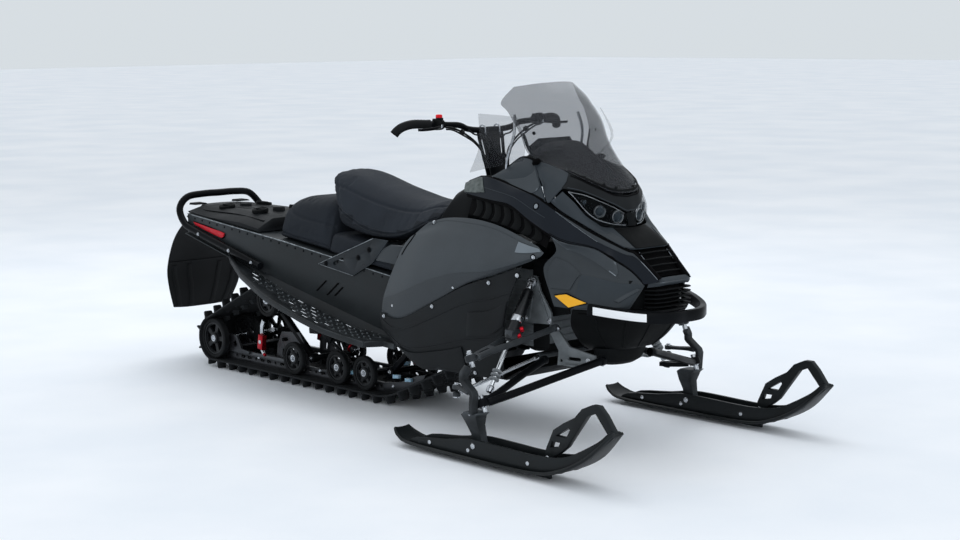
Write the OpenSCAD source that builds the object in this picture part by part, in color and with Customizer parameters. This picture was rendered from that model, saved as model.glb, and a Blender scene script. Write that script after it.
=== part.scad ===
// Trail snowmobile: two steered skis in front, one rubber track behind.
// +X is forward, +Y is the rider's left, Z = 0 is the ground under the track and the skis.
// The origin is below the middle of the machine's length.

/* [Track] */
// Width of the rubber track
track_w = 381; // [361:10:391]
// Height of the track's lugs
lug_h = 32; // [20:1:40]
// Number of lugs round the loop
lug_count = 48; // [40:1:56]
// Diameter of the rear idler wheels
idler_d = 175; // [160:5:180]

/* [Skis] */
// Distance between the two ski centre planes
stance = 1077; // [1060:1:1100]
// Width of one ski
ski_w = 122; // [110:1:150]

/* [Steering] */
// Outer diameter of the handlebar tube
bar_d = 22.2; // [20:0.1:26]
// Diameter of the kingpins
kingpin_d = 18; // [16:1:20]

/* [Body] */
// Wall thickness of the moulded body panels
panel_t = 4; // [3:0.5:5]
// Wall thickness of the tunnel sheet
tunnel_t = 4; // [3:0.5:5]
// Thickness of the clear screen
screen_t = 4; // [3:0.5:5]

/* [Hidden] */
$fn = 40;

half_stance = stance / 2;
belt_t = 7;
rail_y = 130;
ground_belt_z = lug_h + belt_t;

// Kingpin axis of each front leg, from the lower joint to the upper one
king_low = [924, half_stance, 204];
king_high = [868, half_stance, 347];
king_dir = (king_high - king_low) / norm(king_high - king_low);
caster = atan2(king_low[0] - king_high[0], king_high[2] - king_low[2]);
ski_bolt = [920, half_stance, 62];
steer_arm_end = [795, half_stance, 244];

// Steering post
bar_clamp = [392, 0, 1070];
post_low = [430, 0, 898];
post_dir = (bar_clamp - post_low) / norm(bar_clamp - post_low);

// Tunnel side outline, in X and Z
tunnel_top = [[-1300, 661], [-965, 629], [-607, 595], [-308, 560], [62, 517], [440, 470]];
foot_line = [[440, 262], [300, 262], [180, 270], [0, 284], [-150, 298], [-320, 333],
             [-474, 365], [-613, 398], [-770, 442], [-940, 490], [-1300, 575]];

// ---------- shape helpers ----------
function unit(v) = v / norm(v);
function lerp(a, b, t) = a + (b - a) * t;
function mirror_y(p) = [p[0], -p[1], p[2]];
function columns(g) = [for (j = [0 : len(g[0]) - 1]) [for (i = [0 : len(g) - 1]) g[i][j]]];

// One point of a smooth curve through b and c
function curve(a, b, c, d, t) =
  0.5 * (2 * b + (c - a) * t + (2 * a - 5 * b + 4 * c - d) * t * t
         + (3 * b - a - 3 * c + d) * t * t * t);

// A smooth line through points p, n steps from each to the next
function smooth(p, n) =
  let (last = len(p) - 1)
  concat([for (i = [0 : last - 1], k = [0 : n - 1])
            curve(p[max(i - 1, 0)], p[i], p[i + 1], p[min(i + 2, last)], k / n)],
         [p[last]]);

function smooth_net(g, n) =
  columns([for (c = columns([for (r = g) smooth(r, n)])) smooth(c, n)]);

// Both halves of a net whose first column lies on the middle plane
function both_halves(g) =
  [for (r = g) concat([for (j = [len(r) - 1 : -1 : 1]) mirror_y(r[j])], r)];

function net_normal(p, i, j) =
  unit(cross(p[min(i + 1, len(p) - 1)][j] - p[max(i - 1, 0)][j],
             p[i][min(j + 1, len(p[0]) - 1)] - p[i][max(j - 1, 0)]));

// A wall of thickness t behind the net p
module wall(p, t) {
  nu = len(p);
  nv = len(p[0]);
  half = nu * nv;
  outer = [for (i = [0 : nu - 1], j = [0 : nv - 1]) p[i][j]];
  inner = [for (i = [0 : nu - 1], j = [0 : nv - 1]) p[i][j] - t * net_normal(p, i, j)];
  skin = [for (i = [0 : nu - 2], j = [0 : nv - 2])
            let (a = i * nv + j, b = a + 1, d = a + nv, c = d + 1)
            each [[a, b, c], [a, c, d],
                  [half + a, half + c, half + b], [half + a, half + d, half + c]]];
  rows = [for (j = [0 : nv - 2])
            let (a = j, b = j + 1, c = (nu - 1) * nv + j + 1, d = c - 1)
            each [[b, a, half + a], [b, half + a, half + b],
                  [d, c, half + c], [d, half + c, half + d]]];
  ends = [for (i = [0 : nu - 2])
            let (a = i * nv, d = a + nv, b = a + nv - 1, c = d + nv - 1)
            each [[a, d, half + d], [a, half + d, half + a],
                  [c, b, half + b], [c, half + b, half + c]]];
  polyhedron(points = concat(outer, inner), faces = concat(skin, rows, ends));
}

// A solid through closed rings, each anticlockwise about the direction of travel
module loft(rings) {
  n = len(rings[0]);
  last = len(rings) - 1;
  sides = [for (i = [0 : last - 1], k = [0 : n - 1])
             let (a = i * n + k, b = i * n + (k + 1) % n, c = b + n, d = a + n)
             each [[a, d, c], [a, c, b]]];
  caps = [[for (k = [0 : n - 1]) k], [for (k = [n - 1 : -1 : 0]) last * n + k]];
  polyhedron(points = [for (r = rings) each r], faces = concat(sides, caps));
}

// Rings of radius r round a path
function path_rings(p, r, sides, ref) =
  [for (i = [0 : len(p) - 1])
     let (t = unit(p[min(i + 1, len(p) - 1)] - p[max(i - 1, 0)]),
          s = unit(cross(t, ref)), u = cross(t, s))
     [for (k = [0 : sides - 1]) p[i] + r * (cos(360 * k / sides) * s + sin(360 * k / sides) * u)]];

// A bent tube along a smooth path
module bent_tube(points, d, steps = 4, sides = 12, ref = [0, 0, 1]) {
  loft(path_rings(smooth(points, steps), d / 2, sides, ref));
}

// A flat bar of depth d and height h along a smooth path
module flat_bar(points, d, h, steps = 3) {
  p = smooth(points, steps);
  loft([for (i = [0 : len(p) - 1])
          let (t = unit(p[min(i + 1, len(p) - 1)] - p[max(i - 1, 0)]),
               s = d / 2 * unit(cross(t, [0, 0, 1])), u = h / 2 * unit(cross(t, s)))
          [p[i] + s + u, p[i] - s + u, p[i] - s - u, p[i] + s - u]]);
}

// A straight round bar from a to b
module rod(a, b, d) {
  v = b - a;
  translate(a)
    rotate([0, acos(v[2] / norm(v)), atan2(v[1], v[0])])
      cylinder(d = d, h = norm(v));
}

// A flat plate across Y, drawn in X and Z
module side_plate(y, t) {
  translate([0, y + t / 2, 0]) rotate([90, 0, 0]) linear_extrude(t) children();
}

// A solid along X, drawn in Y and Z
module across(x0, x1) {
  translate([x0, 0, 0]) rotate([90, 0, 90]) linear_extrude(x1 - x0) children();
}

module disc_y(p, d, w) {
  translate(p) rotate([90, 0, 0]) cylinder(d = d, h = w, center = true);
}

module both_sides() {
  children();
  mirror([0, 1, 0]) children();
}

// A ring across X for seats and covers: rounded, with its own width low and high
function seat_ring(x, z0, z1, w0, w1, power = 4, sides = 28) =
  [for (k = [0 : sides - 1])
     let (a = 360 * k / sides,
          c = sign(cos(a)) * pow(abs(cos(a)), 2 / power),
          s = sign(sin(a)) * pow(abs(sin(a)), 2 / power),
          t = (s + 1) / 2)
     [x, c * lerp(w0, w1, t), lerp(z0, z1, t)]];

// The same ring leaning in X, from x0 low to x1 high
function lean_ring(x0, x1, z0, z1, w0, w1) =
  [for (p = seat_ring(x0, z0, z1, w0, w1)) [lerp(x0, x1, (p[2] - z0) / (z1 - z0)), p[1], p[2]]];

// ---------- track loop ----------
// Circles that the belt runs round, as X, Z and the belt's inner radius
loop_wheels = [[-1172, ground_belt_z + idler_d / 2, idler_d / 2],
               [-70, ground_belt_z + 300, 300],
               [300, 265, 82],
               [-795, 328, 68]];

function loop_normal(a, b, grow) =
  atan2(b[1] - a[1], b[0] - a[0])
  - acos((a[2] - b[2]) / norm([b[0] - a[0], b[1] - a[1]]));

function loop_outline(w, grow) =
  [for (i = [0 : len(w) - 1])
     let (before = w[(i + len(w) - 1) % len(w)], here = w[i], after = w[(i + 1) % len(w)],
          n0 = loop_normal(before, here), n1 = loop_normal(here, after),
          turn = ((n1 - n0) % 360 + 360) % 360, steps = max(1, ceil(turn / 6)))
     each [for (k = [0 : steps])
             let (a = n0 + turn * k / steps)
             [here[0] + (here[2] + grow) * cos(a), here[1] + (here[2] + grow) * sin(a)]]];

belt_line = loop_outline(loop_wheels, belt_t);
belt_steps = [for (i = [0 : len(belt_line) - 1])
                norm(belt_line[(i + 1) % len(belt_line)] - belt_line[i])];

function total(v, i = 0) = i >= len(v) ? 0 : v[i] + total(v, i + 1);
belt_length = total(belt_steps);

// Point and heading at distance s along the outside of the belt
function belt_at(s, i = 0) =
  s <= belt_steps[i] || i == len(belt_steps) - 1
  ? let (a = belt_line[i], b = belt_line[(i + 1) % len(belt_line)], v = b - a)
    [a + v * s / belt_steps[i], atan2(v[1], v[0])]
  : belt_at(s - belt_steps[i], i + 1);

lug_pitch = belt_length / lug_count;

// A point of the track's outside, ds along from lug k and out from the belt
function track_spot(k, ds, out) =
  let (spot = belt_at((k * lug_pitch + ds + belt_length) % belt_length))
  spot[0] + out * [sin(spot[1]), -cos(spot[1])];

track_line = [for (k = [0 : lug_count - 1])
                each [track_spot(k, -9, 0), track_spot(k, -5, lug_h), track_spot(k, 5, lug_h),
                      track_spot(k, 9, 0), track_spot(k, lug_pitch / 3 + 6, 0),
                      track_spot(k, lug_pitch * 2 / 3 - 6, 0)]];

module track() {
  color("#17181a")
    side_plate(0, track_w) difference() {
      polygon(track_line);
      polygon(loop_outline(loop_wheels, 0));
    }
}

// ---------- chassis ----------
module tunnel() {
  last = len(tunnel_top) - 1;
  outline = concat(tunnel_top, foot_line);
  roof = concat(tunnel_top, [for (k = [last : -1 : 0]) tunnel_top[k] - [0, tunnel_t]]);
  color("#1c1e20") {
    both_sides() side_plate(206 - tunnel_t / 2, tunnel_t) polygon(outline);
    side_plate(0, 408) polygon(roof);
  }
}

// Closed deck over the rear of the tunnel, with two sockets for cargo anchors
module tail_deck() {
  profile = [[-1388, 632], [-1388, 676], [-1374, 687], [-930, 685], [-800, 668], [-796, 617],
             [-965, 633], [-1302, 665], [-1302, 632]];
  section = [[-198, 600], [-198, 652], [-122, 690], [122, 690], [198, 652], [198, 600]];
  plan = [[-1388, -118], [-1388, 118], [-1313, 200], [-790, 200], [-790, -200], [-1313, -200]];
  color("#2e3134")
    difference() {
      union() {
        intersection() {
          side_plate(0, 420) polygon(profile);
          across(-1400, -780) polygon(section);
          linear_extrude(800) polygon(plan);
        }
        for (x = [-1160, -920]) translate([x, 0, 676]) cylinder(d = 52, h = 24);
      }
      for (x = [-1160, -920]) translate([x, 0, 600]) cylinder(r = 19, h = 200);
    }
}

board_plan = [[170, 207], [-1000, 207], [-940, 240], [-790, 300], [-560, 348], [-300, 368],
              [80, 368], [110, 288], [170, 282]];

module running_boards() {
  top = [for (p = foot_line) if (p[0] > -1100 && p[0] < 200) p];
  strip = concat(top, [for (k = [len(top) - 1 : -1 : 0]) top[k] - [0, 4]]);
  edge = concat([for (p = top) p + [0, 8]], [for (k = [len(top) - 1 : -1 : 0]) top[k] - [0, 14]]);
  inner = [for (p = board_plan) [p[0], max(p[1] - 18, 190)]];
  color("#26282b")
    both_sides() {
      intersection() {
        side_plate(288, 200) polygon(strip);
        linear_extrude(800) polygon(board_plan);
      }
      intersection() {
        side_plate(288, 200) polygon(edge);
        linear_extrude(800) difference() {
          polygon(board_plan);
          polygon(inner);
        }
      }
    }
}

module rear_bumper() {
  half = [[-755, 222, 482], [-960, 222, 530], [-1230, 222, 594], [-1306, 221, 622],
          [-1356, 209, 678], [-1366, 162, 724], [-1360, 80, 734], [-1358, 0, 734]];
  path = concat(half, [for (k = [len(half) - 2 : -1 : 0]) mirror_y(half[k])]);
  color("#15171a") bent_tube(path, 30, steps = 3, sides = 12, ref = [0.3, 0, 1]);
}

module snow_flap() {
  half = [[[-1528, 0, 215], [-1526, 80, 216], [-1520, 150, 222]],
          [[-1506, 0, 305], [-1505, 100, 306], [-1498, 184, 310]],
          [[-1496, 0, 395], [-1495, 120, 395], [-1488, 198, 396]],
          [[-1462, 0, 490], [-1461, 120, 490], [-1452, 200, 490]],
          [[-1412, 0, 560], [-1411, 120, 560], [-1406, 200, 560]],
          [[-1336, 0, 622], [-1336, 120, 622], [-1336, 200, 621]]];
  color("#101113") wall(smooth_net(both_halves(half), 2), 5);
}

module tail_lights() {
  color("#a8141a")
    both_sides()
      side_plate(209.5, 6) polygon([[-1250, 628], [-1022, 597], [-1045, 573], [-1238, 616]]);
}

module passenger_seat() {
  color("#1a1b1d")
    loft([lean_ring(-664, -708, 622, 694, 148, 84),
          lean_ring(-676, -726, 612, 716, 172, 104),
          lean_ring(-640, -690, 606, 742, 186, 116),
          lean_ring(-560, -612, 600, 771, 190, 124),
          lean_ring(-470, -505, 592, 776, 194, 128),
          lean_ring(-385, -410, 583, 780, 196, 126),
          lean_ring(-332, -368, 577, 772, 194, 116)]);
}

module driver_seat() {
  color("#1a1b1d")
    loft([lean_ring(-282, -412, 688, 876, 150, 94),
          lean_ring(-290, -422, 676, 887, 172, 112),
          lean_ring(-262, -366, 668, 887, 184, 120),
          lean_ring(-195, -272, 656, 869, 194, 122),
          lean_ring(-110, -145, 645, 836, 202, 122),
          lean_ring(-15, -22, 641, 811, 205, 116),
          lean_ring(70, 68, 652, 795, 206, 110),
          lean_ring(150, 152, 681, 791, 204, 106),
          lean_ring(232, 236, 718, 805, 198, 104),
          lean_ring(284, 286, 744, 808, 170, 92)]);
}

// Plates that carry the seat, one on each side of the tunnel
module seat_brackets() {
  color("#16191d")
    both_sides() side_plate(209.5, 5) difference() {
      polygon([[-378, 524], [-34, 652], [52, 650], [-46, 554], [-162, 497]]);
      for (p = [[-128, 570], [-62, 606]]) translate(p) circle(d = 12);
    }
}

module tank_cover() {
  color("#3a3d41")
    difference() {
      loft([seat_ring(-322, 540, 650, 198, 168, 6),
            seat_ring(-200, 540, 642, 204, 186, 6),
            seat_ring(-80, 520, 630, 204, 198, 6),
            seat_ring(56, 500, 630, 204, 200, 6),
            seat_ring(112, 310, 646, 226, 210, 6),
            seat_ring(160, 302, 672, 232, 212, 6),
            seat_ring(262, 302, 706, 236, 214, 6),
            seat_ring(300, 302, 732, 236, 204, 6),
            seat_ring(334, 302, 850, 234, 130, 6),
            seat_ring(404, 316, 874, 227, 104, 6)]);
      side_plate(0, 420)
        polygon([[-1000, 0], [-965, 632], [-607, 598], [-308, 563], [62, 520], [440, 473],
                 [600, 473], [600, 0]]);
    }
}

// ---------- body panels ----------
// Each half net is on the rider's left. Its rows run to the front or down, its columns outwards or down.
band_net = [[[470, 190, 893], [478, 203, 876], [486, 212, 858]],
            [[560, 192, 919], [566, 212, 885], [575, 224, 849]],
            [[640, 200, 912], [650, 222, 877], [655, 234, 843]],
            [[760, 212, 888], [758, 232, 862], [752, 242, 834]],
            [[850, 222, 868], [852, 236, 828], [850, 244, 787]],
            [[905, 222, 845], [912, 234, 806], [947, 243, 746]],
            [[961, 200, 809], [978, 212, 778], [1005, 222, 722]],
            [[1062, 155, 748], [1075, 165, 728], [1090, 175, 706]],
            [[1172, 110, 697], [1160, 122, 682], [1150, 132, 664]],
            [[1206, 92, 681], [1208, 102, 655], [1205, 114, 632]],
            [[1299, 80, 602], [1280, 90, 596], [1250, 101, 590]]];

inlay_net = [[[600, 188, 922], [606, 191, 921], [612, 194, 919]],
             [[668, 165, 962], [664, 185, 939], [662, 201, 913]],
             [[712, 147, 993], [735, 185, 947], [755, 210, 892]],
             [[775, 150, 986], [815, 190, 932], [845, 219, 872]],
             [[798, 170, 968], [862, 204, 908], [902, 219, 853]]];

strip_net = [[[764, 146, 989], [803, 169, 969], [874, 199, 910]],
             [[850, 142, 971], [883, 180, 926], [909, 217, 851]],
             [[900, 140, 958], [918, 178, 919], [932, 203, 875]],
             [[934, 138, 948], [948, 165, 921], [946, 185, 900]]];

cowl_net = [[[1082, 0, 872], [1079, 30, 875], [1073, 60, 878], [1050, 85, 893], [1026, 105, 907],
             [975, 126, 930], [938, 138, 947]],
            [[1092, 0, 845], [1089, 26, 847], [1080, 62, 860], [1058, 90, 876], [1034, 112, 890],
             [988, 138, 913], [944, 163, 922]],
            [[1098, 0, 818], [1095, 22, 818], [1083, 65, 842], [1062, 95, 858], [1040, 120, 873],
             [997, 150, 890], [949, 186, 900]]];

brow_net = [[[1106, 0, 764], [1104, 22, 764], [1090, 70, 766], [1071, 108, 769], [1050, 125, 784],
             [1020, 147, 810], [988, 164, 850], [950, 184, 888]],
            [[1160, 0, 733], [1158, 35, 733], [1150, 72, 734], [1120, 111, 736], [1080, 133, 759],
             [1030, 156, 790], [978, 181, 836], [936, 202, 868]],
            [[1199, 0, 703], [1199, 37, 703], [1196, 72, 703], [1169, 104, 706], [1104, 129, 736],
             [1035, 159, 775], [956, 193, 821], [912, 208, 854]]];

lip_net = [[[1290, 0, 612], [1290, 40, 612], [1288, 70, 610], [1262, 88, 603]],
           [[1303, 0, 598], [1303, 40, 598], [1300, 72, 597], [1262, 92, 594]],
           [[1296, 0, 586], [1296, 40, 586], [1292, 74, 584], [1256, 94, 578]]];

cheek_net = [[[1250, 103, 587], [1205, 116, 628], [1150, 134, 660], [1090, 177, 702],
              [1005, 224, 718], [952, 244, 740]],
             [[1251, 103, 586], [1200, 124, 610], [1163, 140, 617], [1076, 172, 655],
              [1001, 212, 691], [975, 240, 690]],
             [[1252, 103, 584], [1190, 136, 584], [1123, 171, 594], [1068, 206, 613],
              [1020, 225, 630], [934, 260, 634]],
             [[1240, 110, 560], [1180, 150, 550], [1120, 190, 550], [1070, 222, 548],
              [1030, 238, 545], [962, 258, 548]],
             [[1215, 135, 506], [1165, 190, 505], [1115, 222, 503], [1080, 240, 503],
              [1050, 248, 503], [976, 252, 503]]];

// Top of the body: the cowl under the screen, the long glossy bands and the inlays
module hood() {
  color("#14171c") {
    wall(smooth_net(both_halves(cowl_net), 2), panel_t);
    both_sides() {
      wall(smooth_net(band_net, 2), panel_t);
      wall(smooth_net(inlay_net, 2), panel_t);
      wall(smooth_net(strip_net, 2), panel_t);
    }
  }
}

// Front of the body: the brow below the lamps, the web between them, the lip and the cheeks
module nose() {
  web = [[[1098, 0, 814], [1096, 20, 814]], [[1105, 0, 768], [1103, 20, 768]]];
  color("#24272b") {
    wall(smooth_net(both_halves(brow_net), 2), panel_t);
    wall(both_halves(web), 3);
    wall(smooth_net(both_halves(lip_net), 2), panel_t);
    both_sides() wall(smooth_net(cheek_net, 2), panel_t);
  }
}

side_net = [[[321, 240, 742], [262, 246, 702], [190, 256, 640], [125, 278, 500], [106, 300, 396]],
            [[420, 238, 765], [400, 254, 735], [350, 286, 660], [290, 312, 530], [232, 315, 387]],
            [[560, 244, 772], [550, 270, 730], [540, 312, 645], [500, 326, 570], [430, 323, 470]],
            [[700, 254, 760], [695, 276, 722], [690, 320, 634], [670, 326, 590], [600, 325, 547]],
            [[830, 266, 731], [832, 284, 702], [830, 312, 650], [800, 314, 625], [740, 316, 592]],
            [[930, 280, 705], [948, 286, 696], [962, 290, 688], [952, 290, 676], [925, 292, 662]]];

lower_net = [[[106, 300, 392], [112, 302, 360], [124, 300, 324]],
             [[232, 315, 383], [245, 316, 300], [301, 284, 212]],
             [[430, 323, 466], [435, 320, 330], [430, 274, 212]],
             [[600, 325, 543], [605, 318, 380], [600, 270, 214]],
             [[725, 317, 583], [715, 312, 400], [690, 265, 216]],
             [[830, 308, 618], [782, 312, 440], [722, 263, 219]],
             [[868, 301, 634], [796, 309, 462], [735, 262, 222]]];

module side_panels() {
  color("#45494d") both_sides() wall(smooth_net(side_net, 3), panel_t);
}

module lower_panels() {
  color("#121314") both_sides() wall(smooth_net(lower_net, 3), panel_t);
}

belly_net = [[[1285, 0, 500], [1262, 108, 500], [1178, 186, 499], [1050, 240, 498]],
             [[1240, 0, 440], [1222, 100, 440], [1140, 172, 440], [1030, 226, 440]],
             [[1190, 0, 385], [1176, 80, 382], [1100, 120, 376], [1010, 160, 372]],
             [[1140, 0, 352], [1120, 56, 348], [1060, 84, 342], [990, 95, 338]],
             [[960, 0, 338], [960, 40, 338], [960, 70, 338], [960, 90, 338]]];

module belly_pan() {
  color("#101112") {
    wall(smooth_net(both_halves(belly_net), 2), panel_t);
    side_plate(0, 196)
      polygon([[1000, 300], [1030, 286], [1084, 288], [1110, 320], [1080, 336], [1000, 334]]);
    side_plate(0, 508) polygon([[440, 216], [440, 221], [738, 221], [812, 262], [816, 258], [741, 216]]);
    both_sides()
      side_plate(183, 3) difference() {
        polygon([[806, 330], [806, 640], [880, 650], [985, 600], [985, 470], [884, 448], [884, 338]]);
        translate([832, 572]) circle(r = 15);
      }
  }
}

module front_bumper() {
  half = [[1128, 243, 508], [1210, 206, 498], [1292, 150, 488], [1342, 76, 484], [1344, 0, 482]];
  path = concat(half, [for (k = [len(half) - 2 : -1 : 0]) mirror_y(half[k])]);
  color("#1b1d20") flat_bar(path, 24, 38);
}

// Bars in the upper opening, and slats below the lip with a plate behind them
module front_grille() {
  slat = [[1294, -76], [1294, 76], [1264, 97], [1248, 84], [1272, 60], [1272, -60], [1248, -84], [1264, -97]];
  back = [[1262, -58], [1262, 58], [1232, 84], [1228, 80], [1256, 54], [1256, -54], [1228, -80], [1232, -84]];
  color("#0e0f10") {
    for (k = [0 : 3]) translate([0, 0, 512 + 17 * k]) linear_extrude(7) polygon(slat);
    translate([0, 0, 508]) linear_extrude(72) polygon(back);
    side_plate(0, 140) polygon([[1183, 690], [1189, 693], [1268, 612], [1263, 608]]);
    for (p = [[1213, 682], [1236, 659], [1259, 636]]) disc_y([p[0], 0, p[1]], 8, 144);
  }
}

lamp_net = [[[1096, 24, 814], [1083, 65, 837], [1040, 119, 868], [998, 150, 885], [962, 176, 893]],
            [[1108, 24, 790], [1096, 68, 804], [1060, 122, 826], [1012, 155, 858], [964, 177, 889]],
            [[1105, 24, 769], [1090, 70, 773], [1053, 124, 792], [1011, 152, 831], [966, 176, 884]]];

module headlights() {
  color("#cfd6da") both_sides() wall(smooth_net(lamp_net, 2), 4);
}

module side_reflectors() {
  color("#f0a020")
    both_sides() wall([[[986, 260, 541], [1046, 255, 507]], [[1028, 247, 549], [1102, 226, 525]]], 3);
}

screen_net = [[[756, 0, 1253], [752, 35, 1252], [730, 90, 1248], [679, 151, 1237]],
              [[815, 0, 1222], [808, 45, 1219], [765, 115, 1207], [662, 198, 1185]],
              [[858, 0, 1190], [850, 45, 1186], [800, 115, 1173], [693, 193, 1150]],
              [[915, 0, 1130], [908, 45, 1127], [850, 115, 1108], [735, 176, 1075]],
              [[985, 0, 1030], [968, 45, 1025], [905, 95, 1010], [760, 147, 996]],
              [[1080, 0, 880], [1072, 60, 886], [1025, 104, 914], [934, 136, 955]]];

module windshield() {
  color("#50565c", 0.5) wall(smooth_net(both_halves(screen_net), 3), screen_t);
}

module side_deflectors() {
  color("#70767c", 0.4)
    both_sides()
      wall([[[660, 304, 1147], [760, 215, 1135]],
            [[696, 335, 1041], [800, 215, 1050]],
            [[610, 300, 945], [760, 184, 985]]], screen_t);
}

module dash() {
  color("#1a1c1f")
    loft([seat_ring(500, 880, 908, 148, 130, 5),
          seat_ring(560, 885, 930, 140, 110, 5),
          seat_ring(640, 885, 975, 130, 100, 5),
          seat_ring(740, 885, 1035, 132, 96, 5),
          seat_ring(800, 885, 1040, 128, 90, 5),
          seat_ring(900, 870, 975, 112, 80, 5)]);
}

louvre_top = [[520, 205, 848], [655, 222, 836], [752, 230, 826], [850, 232, 780], [940, 232, 740]];
louvre_low = [[520, 225, 784], [655, 240, 767], [760, 246, 751], [860, 252, 725], [950, 262, 701]];

function along(p, x, k) = lookup(x, [for (q = p) [q[0], q[k]]]);
function louvre(x, v, out) =
  [x, lerp(along(louvre_top, x, 1), along(louvre_low, x, 1), v) + out,
   lerp(along(louvre_top, x, 2), along(louvre_low, x, 2), v)];

module louvre_panels() {
  color("#0d0e0f")
    both_sides() {
      wall([for (k = [0 : 4]) [louvre_top[k], louvre_low[k]]], 4);
      for (k = [0 : 6])
        let (x = 548 + 53 * k)
        wall([for (w = [0, 16])
                [louvre(x + w, 0.08, 5), louvre(x + w + 20, 0.5, 7), louvre(x + w, 0.92, 5)]], 8);
    }
}

module engine() {
  color("#606468") translate([470, -176, 330]) cube([328, 352, 370]);
}

// ---------- front end ----------
module front_frame() {
  color("#8d9296") {
    both_sides() {
      side_plate(200, 8) polygon([[810, 572], [818, 588], [838, 590], [848, 574], [862, 540], [914, 468],
                                  [916, 428], [776, 420], [790, 470], [806, 530]]);
      hull() {
        translate([888, 188, 405]) cube([34, 9, 30]);
        translate([922, 168, 330]) cube([36, 9, 18]);
      }
      hull() {
        translate([918, 166, 283]) cube([40, 9, 66]);
        translate([1000, 114, 290]) cube([44, 9, 34]);
      }
      hull() {
        translate([1000, 112, 290]) cube([44, 9, 8]);
        translate([930, 150, 283]) cube([34, 20, 8]);
      }
    }
    disc_y([832, 0, 572], 22, 396);
  }
}

module upper_arms() {
  color("#101113")
    both_sides() {
      difference() {
        union() {
          rod([934, 206, 418], king_high + [10, -22, 0], 22);
          rod([765, 206, 392], king_high + [-8, -22, 0], 16);
          hull() {
            translate([874, 440, 366]) cylinder(d = 20, h = 8);
            translate([842, 440, 366]) cylinder(d = 16, h = 8);
            translate(king_high + [0, -16, -6]) cylinder(d = 30, h = 8);
          }
          translate(king_high) rotate([0, -caster, 0]) cylinder(d = 40, h = 22, center = true);
        }
        translate(king_high) rotate([0, -caster, 0])
          cylinder(r = kingpin_d / 2 + 0.3, h = 60, center = true);
      }
    }
}

module lower_arms() {
  color("#101113")
    both_sides() {
      difference() {
        union() {
          rod([1080, 128, 312], king_low + [8, -18, 0], 27);
          rod([880, 204, 300], king_low + [-10, -20, 0], 25);
          hull() {
            translate([858, 450, 184]) cylinder(d = 34, h = 18);
            translate([906, 496, 190]) cylinder(d = 26, h = 20);
          }
          translate(king_low) rotate([0, -caster, 0]) cylinder(d = 44, h = 26, center = true);
        }
        translate(king_low) rotate([0, -caster, 0])
          cylinder(r = kingpin_d / 2 + 0.3, h = 60, center = true);
      }
    }
}

module front_shocks() {
  top = [827, 212, 566];
  foot = [858, 450, 212];
  color("#202225")
    both_sides() {
      disc_y([827, 212, 566], 34, 12);
      rod(lerp(top, foot, 0.02), lerp(top, foot, 0.14), 20);
      rod(lerp(top, foot, 0.12), lerp(top, foot, 0.56), 42);
      rod(lerp(top, foot, 0.55), lerp(top, foot, 0.96), 16);
      rod(lerp(top, foot, 0.80), lerp(top, foot, 0.89), 40);
    }
}

// ---------- rear suspension ----------
module slide_rails() {
  profile = [[-1150, 50], [-1130, 41], [-70, 41], [60, 70], [150, 110], [170, 140], [120, 130],
             [20, 92], [-80, 78], [-1100, 78], [-1150, 110]];
  color("#1d1f22")
    both_sides() side_plate(rail_y, 12) difference() {
      polygon(profile);
      for (x = [-1040 : 110 : -160]) translate([x, 61]) square([60, 12], center = true);
    }
}

module wheel(p, d, w, bore = 20) {
  translate(p) rotate([90, 0, 0]) difference() {
    union() {
      difference() {
        cylinder(d = d, h = w, center = true);
        cylinder(d = d - 34, h = w + 2, center = true);
      }
      cylinder(d = d - 30, h = w / 2, center = true);
      cylinder(d = bore + 24, h = w, center = true);
    }
    for (a = [0 : 60 : 300])
      rotate(a) translate([d * 0.27, 0, 0]) cylinder(d = d * 0.16, h = w + 2, center = true);
  }
}

idler_at = [-1172, ground_belt_z + idler_d / 2];

module rear_idler_wheels() {
  color("#1a1b1d") {
    for (y = [-165, 0, 165]) wheel([idler_at[0], y, idler_at[1]], idler_d - 3, 28);
    disc_y([idler_at[0], 0, idler_at[1]], 20, 350);
  }
}

module rail_wheels() {
  color("#1a1b1d")
    both_sides() for (x = [-620, -333, -162])
      wheel([x, 158, ground_belt_z + 68.5], 135, 22);
}

module upper_idler_wheels() {
  color("#1a1b1d") {
    both_sides() wheel([-795, 158, 328], 134, 24);
    disc_y([-795, 0, 328], 20, 350);
  }
}

module drive_sprockets() {
  color("#2a2c2f") {
    both_sides() disc_y([300, 95, 265], 162, 30);
    disc_y([300, 0, 265], 36, 400);
  }
}

module suspension_arms() {
  color("#202226") {
    both_sides() {
      rod([-560, 105, 110], [-780, 105, 288], 24);
      rod([-60, 105, 120], [150, 105, 300], 24);
    }
    for (p = [[-560, 110], [-60, 120], [150, 300]]) disc_y([p[0], 0, p[1]], 22, 236);
  }
}

module rear_shocks() {
  color("#7a1014") {
    rod([-480, 50, 130], [-700, 50, 300], 44);
    rod([10, -40, 155], [112, -40, 285], 44);
  }
}

// ---------- steering ----------
module handlebar() {
  half = [[350, 384, 1094], [364, 348, 1104], [380, 280, 1101], [390, 208, 1097],
          [392, 150, 1093], [392, 112, 1079], [392, 60, 1072], [392, 0, 1072]];
  path = concat(half, [for (k = [len(half) - 2 : -1 : 0]) mirror_y(half[k])]);
  color("#18191b") {
    bent_tube(path, bar_d, steps = 3, sides = 12, ref = [1, 0, 0.2]);
    hull() {
      translate(post_low + [-14, -36, 0]) cube([28, 72, 10]);
      translate(bar_clamp + [-18, -46, -30]) cube([36, 92, 14]);
    }
    for (y = [-40, 32]) translate(bar_clamp + [-20, y, -18]) cube([40, 8, 34]);
    rod(post_low - 90 * post_dir, post_low + 5 * post_dir, 28);
  }
}

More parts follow.
